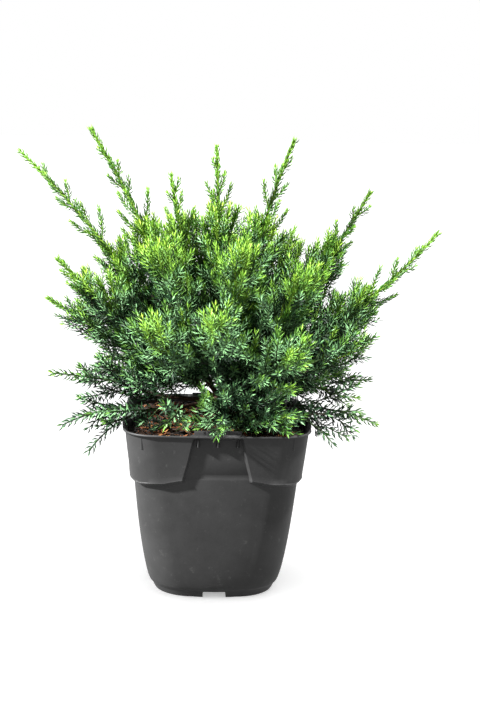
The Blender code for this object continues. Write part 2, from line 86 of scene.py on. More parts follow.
@dataclass(frozen=True)
class Coat:
    """The needles along one kind of twig, in metres and radians, with pairs from base to tip."""

    length: tuple[float, float]
    angle: tuple[float, float]
    width: float
    spacing: float
    closing: float


@dataclass(frozen=True)
class Growth:
    """The rule by which one habit of foliage grows, in metres and radians, from base to tip where it has pairs."""

    first_shoot: float
    shoot_spacing: float
    shoot_longest: float
    shoot_curl: float
    twig_spacing: float
    twig_length: tuple[float, float]
    twig_angle: float
    two_rowed: bool
    least_lift: float
    overlap: float
    # painted shade: how much darker a habit's needles and twigs are painted, for low growth that stands in the crown's
    # shade
    shading: float
    coat: Coat


class Habit(Enum):
    """How a mass of foliage grows."""

    UPRIGHT = Growth(
        first_shoot=6 * MM,
        shoot_spacing=1.6 * MM,
        shoot_longest=34 * MM,
        shoot_curl=0.8,
        twig_spacing=7 * MM,
        twig_length=(15 * MM, 8 * MM),
        twig_angle=math.radians(30),
        two_rowed=False,
        least_lift=1.0,
        overlap=9 * MM,
        shading=0.0,
        coat=Coat((4.6 * MM, 3.6 * MM), (math.radians(54), math.radians(22)), 0.64 * MM, 1.15 * MM, 3.0),
    )
    MOUND = Growth(
        first_shoot=6 * MM,
        shoot_spacing=1.7 * MM,
        shoot_longest=33 * MM,
        shoot_curl=0.75,
        twig_spacing=7 * MM,
        twig_length=(15 * MM, 8 * MM),
        twig_angle=math.radians(34),
        two_rowed=False,
        least_lift=0.45,
        overlap=5 * MM,
        shading=0.0,
        coat=Coat((5.0 * MM, 3.8 * MM), (math.radians(58), math.radians(24)), 0.68 * MM, 1.35 * MM, 3.0),
    )
    FEATHER = Growth(
        first_shoot=23 * MM,
        shoot_spacing=6 * MM,
        shoot_longest=36 * MM,
        shoot_curl=0.25,
        twig_spacing=24 * MM,
        twig_length=(12 * MM, 8 * MM),
        twig_angle=math.radians(42),
        two_rowed=True,
        least_lift=0.1,
        overlap=5 * MM,
        shading=0.1,
        coat=Coat((5.9 * MM, 4.4 * MM), (math.radians(62), math.radians(28)), 1.1 * MM, 1.8 * MM, 6.0),
    )
    SPREADING = Growth(
        first_shoot=14 * MM,
        shoot_spacing=4.2 * MM,
        shoot_longest=32 * MM,
        shoot_curl=0.5,
        twig_spacing=13 * MM,
        twig_length=(13 * MM, 8 * MM),
        twig_angle=math.radians(38),
        two_rowed=False,
        least_lift=0.3,
        overlap=4 * MM,
        shading=0.0,
        coat=Coat((5.6 * MM, 4.2 * MM), (math.radians(60), math.radians(26)), 1.0 * MM, 1.5 * MM, 5.0),
    )


def shade(red: int, green: int, blue: int) -> tuple[float, float, float, float]:
    """A linear colour from a screen colour.

    Args:
        red, green, blue: Screen values from 0 to 255.

    Returns:
        Linear red, green and blue with full opacity.
    """
    linear = []
    for value in (red, green, blue):
        linear.append(((value / 255 + 0.055) / 1.055) ** 2.4 if value > 10 else value / 3294.6)
    return (linear[0], linear[1], linear[2], 1.0)


# Shader maths


class Wire:
    """One socket of a material's nodes, which arithmetic turns into further nodes."""

    def __init__(self, bench: "Bench", socket: bpy.types.NodeSocket) -> None:
        """Keeps the socket and the bench that adds nodes behind it."""
        self.bench = bench
        self.socket = socket

    def maths(self, operation: str, first: Any, second: Any) -> "Wire":
        """A Math node over two values."""
        return self.bench.node("ShaderNodeMath", {"operation": operation}, {0: first, 1: second})

    def __add__(self, other: Any) -> "Wire":
        """The sum."""
        return self.maths("ADD", self, other)

    def __radd__(self, other: Any) -> "Wire":
        """The sum, from the right."""
        return self.maths("ADD", other, self)

    def __sub__(self, other: Any) -> "Wire":
        """The difference."""
        return self.maths("SUBTRACT", self, other)

    def __rsub__(self, other: Any) -> "Wire":
        """The difference, from the right."""
        return self.maths("SUBTRACT", other, self)

    def __mul__(self, other: Any) -> "Wire":
        """The product."""
        return self.maths("MULTIPLY", self, other)

    def __rmul__(self, other: Any) -> "Wire":
        """The product, from the right."""
        return self.maths("MULTIPLY", other, self)


class Bench:
    """The nodes of one material round its Principled shader."""

    def __init__(self, name: str) -> None:
        """Starts a material of that name."""
        self.material = bpy.data.materials.new(name)
        self.material.use_nodes = True
        self.tree = self.material.node_tree
        self.surface = self.tree.nodes["Principled BSDF"]

    def feed(self, socket: bpy.types.NodeSocket, value: Any) -> None:
        """Links a wire to a socket, or sets a plain value on it."""
        if isinstance(value, Wire):
            self.tree.links.new(value.socket, socket)
        else:
            socket.default_value = value

    def node(self, kind: str, settings: dict[str, Any], inputs: dict[Any, Any], output: Any = 0) -> Wire:
        """Adds one node.

        Args:
            kind: The node's type.
            settings: Its own settings, and a ramp's stops as (place, colour) pairs.
            inputs: Values or wires for its sockets, by name or number.
            output: The socket that is read from it.

        Returns:
            The wire of that output.
        """
        made = self.tree.nodes.new(kind)
        for name, value in settings.items():
            if name == "stops":
                self.set_stops(made.color_ramp, value)
            else:
                setattr(made, name, value)
        for key, value in inputs.items():
            self.feed(made.inputs[key], value)
        return Wire(self, made.outputs[output])

    @staticmethod
    def set_stops(ramp: bpy.types.ColorRamp, stops: list[tuple[float, Any]]) -> None:
        """Puts the stops of a ramp in place."""
        while len(ramp.elements) < len(stops):
            ramp.elements.new(1.0)
        for element, (place, colour) in zip(ramp.elements, stops):
            element.position = place
            element.color = colour

    def dress(self, **values: Any) -> bpy.types.Material:
        """Sets or links sockets of the shader, with _ for a space in their names, and returns the material."""
        for name, value in values.items():
            self.feed(self.surface.inputs[name.replace("_", " ")], value)
        return self.material

    def place(self, stretch: tuple[float, float, float] = (1, 1, 1)) -> Wire:
        """Object coordinates, stretched by a factor along each axis."""
        plain = self.node("ShaderNodeTexCoord", {}, {}, "Object")
        return self.node("ShaderNodeMapping", {}, {"Vector": plain, "Scale": stretch})

    def clouds(self, place: Wire, per_metre: float, detail: float = 3.0, rough: float = 0.55) -> Wire:
        """A noise pattern's height, from 0 to 1."""
        inputs = {"Vector": place, "Scale": per_metre, "Detail": detail, "Roughness": rough}
        return self.node("ShaderNodeTexNoise", {}, inputs, "Fac")

    def ramp(self, height: Wire, stops: list[tuple[float, Any]]) -> Wire:
        """A colour ramp read at a height."""
        return self.node("ShaderNodeValToRGB", {"stops": stops}, {"Fac": height}, "Color")

    def blend(self, share: Any, first: Any, second: Any) -> Wire:
        """One colour over another by a share."""
        inputs = {0: share, 6: first, 7: second}
        return self.node("ShaderNodeMix", {"data_type": "RGBA"}, inputs, 2)

    def relief(self, height: Wire, depth: float) -> Wire:
        """A Bump node over a height, with its full depth in metres."""
        inputs = {"Height": height, "Distance": depth, "Strength": 1.0}
        return self.node("ShaderNodeBump", {}, inputs, "Normal")


# Finishes


@dataclass(frozen=True)
class MouldedPlastic:
    """Dark grey moulded plastic, dusty in soft clouds, with a fine grain and a few paler scuffs."""

    deep: tuple = shade(33, 33, 33)
    pale: tuple = shade(45, 45, 45)
    scuff: tuple = shade(76, 76, 75)

    def material(self) -> bpy.types.Material:
        """Builds the plastic's nodes."""
        bench = Bench("moulded_plastic")
        place = bench.place()
        dust = bench.clouds(place, 30, 9, 0.72)
        grain = bench.clouds(place, 1500, 2, 0.5)
        streaks = bench.clouds(bench.place((1, 1, 0.12)), 700, 2, 0.6)
        body = bench.ramp(dust, [(0.3, self.deep), (0.72, self.pale)])
        marks = bench.ramp(bench.clouds(place, 260, 4, 0.75), [(0.6, (0, 0, 0, 1)), (0.74, (1, 1, 1, 1))])
        worn = bench.node("ShaderNodeRGBToBW", {}, {"Color": marks}) * 0.35
        colour = bench.blend(worn, body, self.scuff)
        height = grain * 0.7 + streaks * 0.3
        return bench.dress(
            Base_Color=colour,
            Roughness=0.46 + dust * 0.16,
            Normal=bench.relief(height, 0.06 * MM),
            Specular_IOR_Level=0.12,
        )


@dataclass(frozen=True)
class Compost:
    """Bark compost in one of its browns, with fibres along one way."""

    name: str
    deep: tuple
    pale: tuple

    def material(self) -> bpy.types.Material:
        """Builds the compost's nodes."""
        bench = Bench(self.name)
        crumbs = bench.clouds(bench.place(), 900, 4, 0.65)
        colour = bench.ramp(crumbs, [(0.35, self.deep), (0.68, self.pale)])
        return bench.dress(
            Base_Color=colour,
            Roughness=0.8 + crumbs * 0.15,
            Normal=bench.relief(crumbs, 0.3 * MM),
            Specular_IOR_Level=0.3,
        )


@dataclass(frozen=True)
class BarkFinish:
    """Thin brown bark with dark fissures that run along the limb."""

    fissure: tuple = shade(22, 15, 10)
    plate: tuple = shade(60, 42, 28)

    def material(self) -> bpy.types.Material:
        """Builds the bark's nodes."""
        bench = Bench("juniper_bark")
        along = bench.clouds(bench.place((1, 1, 0.25)), 1100, 4, 0.65)
        flakes = bench.clouds(bench.place(), 420, 3, 0.5)
        height = along * 0.7 + flakes * 0.3
        colour = bench.ramp(height, [(0.38, self.fissure), (0.62, self.plate)])
        return bench.dress(
            Base_Color=colour,
            Roughness=0.75 + flakes * 0.2,
            Normal=bench.relief(height, 0.4 * MM),
            Specular_IOR_Level=0.25,
        )


@dataclass(frozen=True)
class LeafFinish:
    """One plain green or brown of needles or twigs, dealt out by spray."""

    name: str
    colour: tuple
    roughness: float = 0.5

    def material(self) -> bpy.types.Material:
        """Builds the plain finish."""
        bench = Bench(self.name)
        return bench.dress(Base_Color=self.colour, Roughness=self.roughness, Specular_IOR_Level=0.2)


class Needles(Enum):
    """The greens of the needles, from painted shade deep inside the crown out to the new tips: a needle's back, then
    its face.
    """

    # painted shade: a near-black green for the needles deep inside the crown
    INNER = (shade(4, 13, 6), shade(20, 42, 22))
    BLUE = (shade(20, 50, 24), shade(88, 124, 82))
    GREEN = (shade(38, 74, 16), shade(78, 114, 46))
    FRESH = (shade(64, 102, 20), shade(104, 140, 48))
    LIME = (shade(88, 122, 26), shade(124, 152, 54))


class Wood(Enum):
    """The colours of the thin twigs, by their age."""

    OLD = shade(34, 25, 18)
    RIPE = shade(40, 56, 26)
    GREEN = shade(84, 110, 28)


# Meshes


def finished(name: str, mesh: bpy.types.Mesh, nodes: Iterable[str]) -> bpy.types.Object:
    """Puts a finished mesh into the scene.

    Args:
        name: The piece's name.
        mesh: Its mesh, in place.
        nodes: The nodes that it stands for.

    Returns:
        The piece, riding on the body.
    """
    piece = bpy.data.objects.new(name, mesh)
    bpy.context.scene.collection.objects.link(piece)
    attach(piece, BODY)
    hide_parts(*nodes)
    report.info("%s: %d faces", name, len(mesh.polygons))
    return piece


def mesh_from_bmesh(name: str, shape: bmesh.types.BMesh, materials: list[bpy.types.Material]) -> bpy.types.Mesh:
    """Turns a bmesh into a smooth mesh with sharp edges kept, and frees it."""
    bmesh.ops.recalc_face_normals(shape, faces=shape.faces)
    mesh = bpy.data.meshes.new(name)
    shape.to_mesh(mesh)
    shape.free()
    for material in materials:
        mesh.materials.append(material)
    mesh.shade_smooth()
    mesh.set_sharp_from_angle(angle=math.radians(32))
    return mesh


def mesh_from_arrays(
    name: str,
    points: np.ndarray,
    faces: np.ndarray,
    kinds: np.ndarray,
    materials: list[bpy.types.Material],
) -> bpy.types.Mesh:
    """Joins many small faces of equal corner count into one mesh.

    Args:
        name: The mesh's name.
        points: Corners, one row each.
        faces: Corner numbers, one row for each face.
        kinds: The number of each face's material.
        materials: The materials in that order.

    Returns:
        The mesh.
    """
    corners = faces.shape[1]
    mesh = bpy.data.meshes.new(name)
    mesh.vertices.add(len(points))
    mesh.vertices.foreach_set("co", points.astype(np.float32).ravel())
    mesh.loops.add(faces.size)
    mesh.loops.foreach_set("vertex_index", faces.astype(np.int32).ravel())
    mesh.polygons.add(len(faces))
    mesh.polygons.foreach_set("loop_start", np.arange(len(faces), dtype=np.int32) * corners)
    mesh.polygons.foreach_set("material_index", kinds.astype(np.int32))
    for material in materials:
        mesh.materials.append(material)
    mesh.update(calc_edges=True)
    mesh.validate()
    mesh.shade_flat()
    return mesh


class Rings:
    """A surface that is built ring by ring, each bridged to the one before."""

    def __init__(self) -> None:
        """Starts with an empty bmesh."""
        self.shape = bmesh.new()
        self.last: list[bmesh.types.BMEdge] = []

    def add(self, outline: list[Vector]) -> None:
        """Lays one ring of corners and bridges it to the last one, or caps it where it is the first."""
        corners = [self.shape.verts.new(point) for point in outline]
        pairs = zip(corners, corners[1:] + corners[:1])
        edges = [self.shape.edges.new(pair) for pair in pairs]
        if self.last:
            bmesh.ops.bridge_loops(self.shape, edges=self.last + edges)
        else:
            bmesh.ops.contextual_create(self.shape, geom=edges)
        self.last = edges

    def close(self) -> bmesh.types.BMesh:
        """Caps the last ring and returns the bmesh."""
        bmesh.ops.contextual_create(self.shape, geom=self.last)
        return self.shape


def joined(mesh: bpy.types.Mesh, shapes: list[bmesh.types.BMesh], operation: str) -> bpy.types.Mesh:
    """One Boolean of a mesh with a collection of closed shapes, which is then removed.

    Args:
        mesh: The mesh that is cut or added to.
        shapes: The closed shapes, which are freed.
        operation: UNION or DIFFERENCE.

    Returns:
        The new mesh.
    """
    body = bpy.data.objects.new("body", mesh)
    bpy.context.scene.collection.objects.link(body)
    others = bpy.data.collections.new("others")
    bpy.context.scene.collection.children.link(others)
    for shape in shapes:
        bmesh.ops.recalc_face_normals(shape, faces=shape.faces)
        other = bpy.data.meshes.new("other")
        shape.to_mesh(other)
        shape.free()
        others.objects.link(bpy.data.objects.new("other", other))
    boolean = body.modifiers.new("Join", "BOOLEAN")
    boolean.operation = operation
    boolean.operand_type = "COLLECTION"
    boolean.collection = others
    made = bpy.data.meshes.new_from_object(body.evaluated_get(bpy.context.evaluated_depsgraph_get()))
    for other in list(others.objects):
        bpy.data.objects.remove(other)
    bpy.data.collections.remove(others)
    bpy.data.objects.remove(body)
    return made


def block(size: tuple[float, float, float], place: Matrix, rounding: float = 0.0) -> bmesh.types.BMesh:
    """A block by its three side lengths, set in place, with rounded edges."""
    shape = bmesh.new()
    bmesh.ops.create_cube(shape, size=1)
    bmesh.ops.scale(shape, vec=size, verts=shape.verts)
    if rounding:
        bmesh.ops.bevel(
            shape, geom=shape.edges, offset=rounding, segments=2, profile=0.5, affect="EDGES", material=-1
        )
    bmesh.ops.transform(shape, matrix=place, verts=shape.verts)
    return shape


# The pot


def quarter_turns() -> list[Matrix]:
    """The four turns that carry one side of the pot to all its sides."""
    return [Matrix.Rotation(turn * math.pi / 2, 4, "Z") for turn in range(4)]


@dataclass
class Pot:
    """The square pot: a tapered cup with a thick collar, a label recess in each side, a lip and four feet."""

    height: float = 91 * MM
    lip_half: float = 48.2 * MM
    lip_underside: float = 89.8 * MM
    collar_top: float = 88.4 * MM
    collar_top_half: float = 46.9 * MM
    collar_bottom: float = 64.5 * MM
    collar_bottom_half: float = 44.5 * MM
    body_top: float = 62 * MM
    body_top_half: float = 42.4 * MM
    body_slope: float = 0.083
    body_curve: float = 0.62
    seam: float = 4.5 * MM
    seam_half: float = 33.3 * MM
    seam_ledge: float = 0.25 * MM
    foot_half: float = 31.4 * MM
    corner_at_foot: float = 20 * MM
    corner_at_lip: float = 16.4 * MM
    corner_steps: int = 12
    side_bulge: float = 1.2 * MM
    wall: float = 1.3 * MM
    floor_top: float = 6 * MM
    recess_top_half: float = 13 * MM
    recess_bottom_half: float = 17.7 * MM
    recess_bevel: float = 1.4 * MM
    collar_bow: float = 3.2 * MM
    corner_bow: float = 0.35
    mould_line: float = 68 * MM
    mould_step: float = 0.2 * MM
    tab_half: float = 12 * MM
    tab_top: float = 92.7 * MM
    tab_thickness: float = 1.04 * MM
    bead: float = 0.17 * MM
    gusset_offsets: tuple = (-10 * MM, 0.0, 10 * MM)
    gusset_width: float = 2 * MM
    gusset_drop: float = 5.2 * MM
    gusset_front: float = 0.9
    rib_angles: tuple = (math.radians(60), math.radians(30))
    rib_width: float = 2 * MM
    rib_drop: float = 7.2 * MM
    rib_front: float = 0.94
    rib_reach: tuple = (16.2 * MM, 17.6 * MM, 17 * MM)
    channel_half: float = 6 * MM
    channel_height: float = 3.6 * MM
    channel_start: float = 12 * MM
    drain_radius: float = 3 * MM
    drain_offset: float = 22 * MM
    finish: MouldedPlastic = field(default_factory=MouldedPlastic)

    def body_half(self, z: float) -> float:
        """Half the pot's width at a height, without the collar."""
        if z > self.body_top:
            return self.body_top_half + self.body_slope * (z - self.body_top)
        share = (z - self.seam) / (self.body_top - self.seam)
        return self.seam_half + (self.body_top_half - self.seam_half) * share**self.body_curve

    def outline(self, z: float, half: float, recess: float = 0.0, inset: float = 0.0, bow: float = 0.0) -> list[Vector]:
        """The pot's outline at a height: a square with round corners and a sunk stretch in each side.

        Args:
            z: The height.
            half: Half the outline's width.
            recess: How far the stretch in the middle of each side is sunk.
            inset: How far the outline stands inside the outer wall.
            bow: How far the outline rises towards the middle of each side.

        Returns:
            The corners of the outline, once round.
        """
        share = z / self.height
        corner = self.corner_at_foot + (self.corner_at_lip - self.corner_at_foot) * share - inset
        straight = half - corner
        rise = min(max((z - self.collar_bottom) / (self.collar_top - self.collar_bottom), 0), 1)
        edge = self.recess_bottom_half + (self.recess_top_half - self.recess_bottom_half) * rise + inset
        edge = min(edge, straight - self.recess_bevel)
        inner = edge - self.recess_bevel
        between = (straight + edge) / 2
        half_side = [(recess, inner / 2), (recess, inner), (0, edge), (0, between), (0, straight)]
        side = [(sunk, -y) for sunk, y in reversed(half_side)] + [(recess, 0)] + half_side
        points = []
        for sunk, y in side:
            middling = 1 - (y / straight) ** 2
            rise = self.corner_bow + (1 - self.corner_bow) * min(1.6 * middling, 1)
            points.append(Vector((half - sunk + self.side_bulge * middling, y, z + bow * rise)))
        for step in range(1, self.corner_steps):
            angle = step * math.pi / 2 / self.corner_steps
            rise = self.corner_bow * abs(math.cos(2 * angle))
            points.append(Vector((straight + corner * math.cos(angle), straight + corner * math.sin(angle), z + bow * rise)))
        return [turn @ point for turn in quarter_turns() for point in points]

    def collar_half(self, z: float) -> float:
        """Half the collar's width at a height."""
        share = (z - self.collar_bottom) / (self.collar_top - self.collar_bottom)
        return self.collar_bottom_half + (self.collar_top_half - self.collar_bottom_half) * share

    def outer_levels(self) -> list[tuple[float, float, float, float]]:
        """Height, half width, recess and bow of each ring up the outside and round the lip."""
        bow = self.collar_bow
        levels = [
            (0.0, self.foot_half - 0.5 * MM, 0.0, 0.0),
            (0.25 * MM, self.foot_half, 0.0, 0.0),
            (2.2 * MM, self.foot_half + 0.45 * (self.seam_half - self.foot_half), 0.0, 0.0),
            (self.seam - 0.3 * MM, self.seam_half - self.seam_ledge, 0.0, 0.0),
            (self.seam, self.seam_half, 0.0, 0.0),
        ]
        steps = 22
        for step in range(1, steps + 1):
            z = self.seam + (self.body_top - self.seam) * (step / steps) ** 1.6
            levels.append((z, self.body_half(z), 0.0, bow * max(z / self.body_top - 0.6, 0) / 0.4))
        for z, half in (
            (self.body_top + 0.5 * MM, self.body_top_half + 0.2 * MM),
            (self.body_top + 0.9 * MM, self.collar_bottom_half - 0.7 * MM),
            (self.body_top + 1.5 * MM, self.collar_bottom_half - 0.1 * MM),
            (self.collar_bottom - 0.5 * MM, self.collar_bottom_half + self.bead),
        ):
            levels.append((z, half, half - self.body_half(z), bow))
        for z in (self.collar_bottom, self.mould_line - 0.2 * MM, self.mould_line + 0.2 * MM, 78 * MM, self.collar_top):
            step = self.mould_step if z < self.mould_line else 0
            half = self.collar_half(z)
            levels.append((z, half, half - self.body_half(z) + step, bow * max(78 * MM - z, 0) / (78 * MM - self.collar_bottom)))
        for z, half in (
            (self.lip_underside, self.lip_half - 1.0 * MM),
            (self.lip_underside + 0.25 * MM, self.lip_half - 0.15 * MM),
            (self.lip_underside + 0.5 * MM, self.lip_half),
            (self.height - 0.4 * MM, self.lip_half),
            (self.height - 0.1 * MM, self.lip_half - 0.15 * MM),
            (self.height, self.lip_half - 0.5 * MM),
        ):
            levels.append((z, half, 0.0, 0.0))
        return levels

    def walls(self) -> bmesh.types.BMesh:
        """The cup, from its underside up the outside, over the lip and down the inside to its floor."""
        rings = Rings()
        for z, half, recess, bow in self.outer_levels():
            rings.add(self.outline(z, half, recess, bow=bow))
        inside = self.lip_half - self.wall
        sunk = inside - self.body_half(self.collar_top) + self.wall
        rings.add(self.outline(self.height - 0.1 * MM, inside + 0.2 * MM, sunk, self.wall))
        rings.add(self.outline(self.height - 0.5 * MM, inside, sunk, self.wall))
        for z in (self.collar_top, self.collar_bottom + self.collar_bow):
            half = self.collar_half(z)
            rings.add(self.outline(z, half - self.wall, half - self.body_half(z), self.wall))
        for z in (self.body_top + self.collar_bow, 40 * MM, 22 * MM, 12 * MM, self.floor_top):
            rings.add(self.outline(z, self.body_half(z) - self.wall, 0, self.wall))
        return rings.close()

    def extras(self) -> list[bmesh.types.BMesh]:
        """The tabs behind the lip, and the gussets and corner ribs under it."""
        face = self.body_half(self.collar_top)
        tab_height = self.tab_top - self.collar_top
        centre = self.collar_top_half - self.corner_at_lip - self.wall / 2
        wall = face + self.side_bulge - self.wall / 2
        shapes = []
        for turn, angle in zip(quarter_turns(), 2 * self.rib_angles):
            middle = Matrix.Translation((face - self.wall / 2, 0, self.collar_top + tab_height / 2))
            shapes.append(block((self.tab_thickness, 2 * self.tab_half, tab_height), turn @ middle, 0.25 * MM))
            for offset in self.gusset_offsets:
                place = turn @ Matrix.Translation((0, offset, 0))
                reach = (wall, self.lip_half + self.side_bulge / 2, self.lip_half)
                shapes.append(self.web(reach, self.gusset_drop, self.gusset_front, self.gusset_width, place))
            place = turn @ Matrix.Translation((centre, centre, 0)) @ Matrix.Rotation(angle, 4, "Z")
            shapes.append(self.web(self.rib_reach, self.rib_drop, self.rib_front, self.rib_width, place))
        return shapes

    def web(self, reach: tuple, drop: float, front: float, width: float, place: Matrix) -> bmesh.types.BMesh:
        """One small upright web under the lip, which narrows to its front edge.

        Args:
            reach: The distances of its back, and of its front edge at the top and the bottom, from the place.
            drop: How far its back hangs below the lip.
            front: The share of that drop that its front edge has.
            width: Its thickness at the back.
            place: Where it stands, with +X outwards.

        Returns:
            The web.
        """
        shape = bmesh.new()
        under, top = self.lip_underside, self.lip_underside + self.wall / 4
        back = [(reach[0], side * width / 2, z) for side in (-1, 1) for z in (under - drop, top)]
        for corner in (*back, (reach[1], 0, top), (reach[2], 0, under - drop * front)):
            shape.verts.new(corner)
        bmesh.ops.convex_hull(shape, input=shape.verts)
        bmesh.ops.transform(shape, matrix=place, verts=shape.verts)
        return shape

    def cutters(self) -> list[bmesh.types.BMesh]:
        """The drainage channels between the feet and the drain holes."""
        shapes = []
        length = self.foot_half * 1.2 - self.channel_start
        for turn in quarter_turns():
            middle = Matrix.Translation((self.channel_start + length / 2, 0, 0))
            size = (length, 2 * self.channel_half, 2 * self.channel_height)
            shapes.append(block(size, turn @ middle, 0.6 * MM))
            hole = bmesh.new()
            place = turn @ Matrix.Translation((self.drain_offset, 0, self.floor_top / 2))
            radius = self.drain_radius
            bmesh.ops.create_cone(
                hole, cap_ends=True, segments=32, radius1=radius, radius2=radius, depth=3 * self.floor_top, matrix=place
            )
            shapes.append(hole)
        return shapes

    def build(self) -> bpy.types.Object:
        """Builds the whole pot as one piece."""
        mesh = mesh_from_bmesh("pot_walls", self.walls(), [])
        mesh = joined(mesh, self.extras(), "UNION")
        mesh = joined(mesh, self.cutters(), "DIFFERENCE")
        shape = bmesh.new()
        shape.from_mesh(mesh)
        bmesh.ops.remove_doubles(shape, verts=shape.verts, dist=0.004 * MM)
        return finished("nursery_pot", mesh_from_bmesh("nursery_pot", shape, [self.finish.material()]), ["pot"])


# The soil


@dataclass
class Soil:
    """Bark compost that fills the pot, with loose chips and fibres on its rough top."""

    pot: Pot
    edge: float = 87 * MM
    top: float = 88.4 * MM
    roughness: float = 0.9 * MM
    rings: int = 22
    chips: int = 900
    chip_length: tuple = (1.8 * MM, 8.5 * MM)
    fibres: int = 260
    fibre_length: tuple = (5 * MM, 14 * MM)
    room: float = 42.6 * MM
    straight: float = 29 * MM
    browns: tuple = (
        Compost("compost_black", shade(12, 8, 5), shade(28, 18, 11)),
        Compost("compost_dark", shade(26, 15, 8), shade(52, 31, 16)),
        Compost("compost_red", shade(62, 32, 11), shade(106, 60, 22)),
        Compost("compost_pale", shade(92, 60, 24), shade(140, 96, 48)),
    )

    def height(self, x: float, y: float) -> float:
        """The height of the compost's top at a place."""
        share = min(max(abs(x), abs(y)) / self.room, 1)
        rough = noise.noise(Vector((x, y, 0)) / (6 * MM)) + 0.5 * noise.noise(Vector((x, y, 1)) / (2.2 * MM))
        return self.edge + (self.top - self.edge) * (1 - share**2) + self.roughness * rough * (1 - 0.6 * share**6)

    def block(self) -> bmesh.types.BMesh:
        """The closed block of compost."""
        pot = self.pot
        inset = pot.wall + GAP
        rings = Rings()
        for z in (pot.floor_top + GAP, 22 * MM, 40 * MM, pot.body_top + pot.collar_bow - GAP):
            rings.add(pot.outline(z, pot.body_half(z) - inset, 0, inset))
        for z in (pot.collar_bottom + pot.collar_bow + GAP, self.edge):
            half = pot.collar_half(z)
            rings.add(pot.outline(z, half - inset, half - pot.body_half(z), inset))
        half = pot.collar_half(self.edge)
        edge = pot.outline(self.edge, half - inset, half - pot.body_half(self.edge), inset)
        for ring in range(1, self.rings):
            share = 1 - ring / self.rings
            rings.add([Vector((p.x * share, p.y * share, self.height(p.x * share, p.y * share))) for p in edge])
        return rings.close()

    def scatter(self, rng: random.Random, margin: float) -> tuple[float, float]:
        """A place on the top that keeps a margin from the pot's wall and its round corners."""
        reach = self.room - margin
        while True:
            x, y = rng.uniform(-reach, reach), rng.uniform(-reach, reach)
            past = [max(abs(value) - self.straight, 0) for value in (x, y)]
            if math.hypot(*past) <= reach - self.straight:
                return x, y

    def chip_arrays(self, rng: random.Random) -> tuple[np.ndarray, np.ndarray, np.ndarray]:
        """Loose chips: flat six-sided flakes with ragged outlines.

        Args:
            rng: The seeded source of their places and sizes.

        Returns:
            Corners, triangles and the number of each triangle's brown.
        """
        sides = 6
        points, faces, kinds = [], [], []
        for index in range(self.chips):
            low, high = self.chip_length
            length = low + (high - low) * rng.random() ** 1.8
            x, y = self.scatter(rng, length * 0.6)
            width = length * rng.uniform(0.25, 0.6)
            thick = min(length * 0.3, 1.3 * MM) * rng.uniform(0.5, 1)
            turn = Matrix.Rotation(rng.uniform(0, 2 * math.pi), 4, "Z")
            turn @= Matrix.Rotation(rng.gauss(0, 0.3), 4, "X") @ Matrix.Rotation(rng.gauss(0, 0.22), 4, "Y")
            place = Matrix.Translation((x, y, self.height(x, y) + thick * 0.35)) @ turn
            ragged = [rng.uniform(0.65, 1.1) for _ in range(sides)]
            base = len(points)
            for level, shrink in ((-0.5, 0.85), (0.5, 1.0)):
                for side in range(sides):
                    angle = side * 2 * math.pi / sides
                    size = ragged[side] * shrink / 2
                    corner = Vector((length * size * math.cos(angle), width * size * math.sin(angle), thick * level))
                    points.append(place @ corner)
            for side in range(sides):
                after = (side + 1) % sides
                faces.append((base + side, base + after, base + sides + after))
                faces.append((base + side, base + sides + after, base + sides + side))
            for side in range(1, sides - 1):
                faces.append((base, base + side + 1, base + side))
                faces.append((base + sides, base + sides + side, base + sides + side + 1))
            kind = rng.choices(range(len(self.browns)), (0.3, 0.3, 0.28, 0.12))[0]
            kinds.extend([kind] * (4 * sides - 4))
        return np.array(points), np.array(faces), np.array(kinds)

    def fibre_arrays(self, rng: random.Random) -> tuple[np.ndarray, np.ndarray, np.ndarray]:
        """Thin curved fibres that lie over the chips.

        Args:
            rng: The seeded source of their places and sizes.

        Returns:
            Corners, triangles and the number of each triangle's brown.
        """
        paths = []
        for _ in range(self.fibres):
            length = rng.uniform(*self.fibre_length)
            x, y = self.scatter(rng, length * 0.6)
            angle = rng.uniform(0, 2 * math.pi)
            curl = rng.gauss(0, 1.2)
            path = []
            for step in range(4):
                share = step / 3 - 0.5
                way = angle + curl * share
                px = x + length * share * math.cos(way)
                py = y + length * share * math.sin(way)
                path.append((px, py, self.height(px, py) + (0.5 + rng.random()) * MM))
            paths.append(path)
        path_array = np.array(paths)
        radii = np.full(path_array.shape[:2], 0.22 * MM) * np.array([0.6, 1, 0.9, 0.4])
        points, faces = tubes(path_array, radii, 3)
        each = len(faces) // self.fibres
        kinds = np.repeat([rng.randrange(len(self.browns)) for _ in range(self.fibres)], each)
        return points, faces, kinds

    def build(self) -> list[bpy.types.Object]:
        """Builds the block, the chips and the fibres."""
        rng = random.Random("bark compost")
        materials = [brown.material() for brown in self.browns]
        block_mesh = mesh_from_bmesh("compost", self.block(), [materials[0]])
        made = [finished("compost", block_mesh, ["soil"])]
        for name, arrays in (("bark_chips", self.chip_arrays(rng)), ("fibres", self.fibre_arrays(rng))):
            made.append(finished(name, mesh_from_arrays(name, *arrays, materials), ["soil"]))
        return made


# Tubes and vectors in arrays


def unit(vectors: np.ndarray) -> np.ndarray:
    """The vectors at length one."""
    return vectors / np.linalg.norm(vectors, axis=-1, keepdims=True)


def across(ways: np.ndarray) -> tuple[np.ndarray, np.ndarray]:
    """Two unit vectors square to each way and to each other."""
    upright = np.abs(ways[..., 2:]) > 0.98
    helper = np.where(upright, np.array([1.0, 0, 0]), np.array([0, 0, 1.0]))
    first = unit(np.cross(ways, helper))
    return first, np.cross(ways, first)


def turned(ways: np.ndarray, angles: np.ndarray, rolls: np.ndarray) -> np.ndarray:
    """Unit vectors that leave each way at an angle, rolled round it."""
    first, second = across(ways)
    side = first * np.cos(rolls)[..., None] + second * np.sin(rolls)[..., None]
    return unit(ways * np.cos(angles)[..., None] + side * np.sin(angles)[..., None])


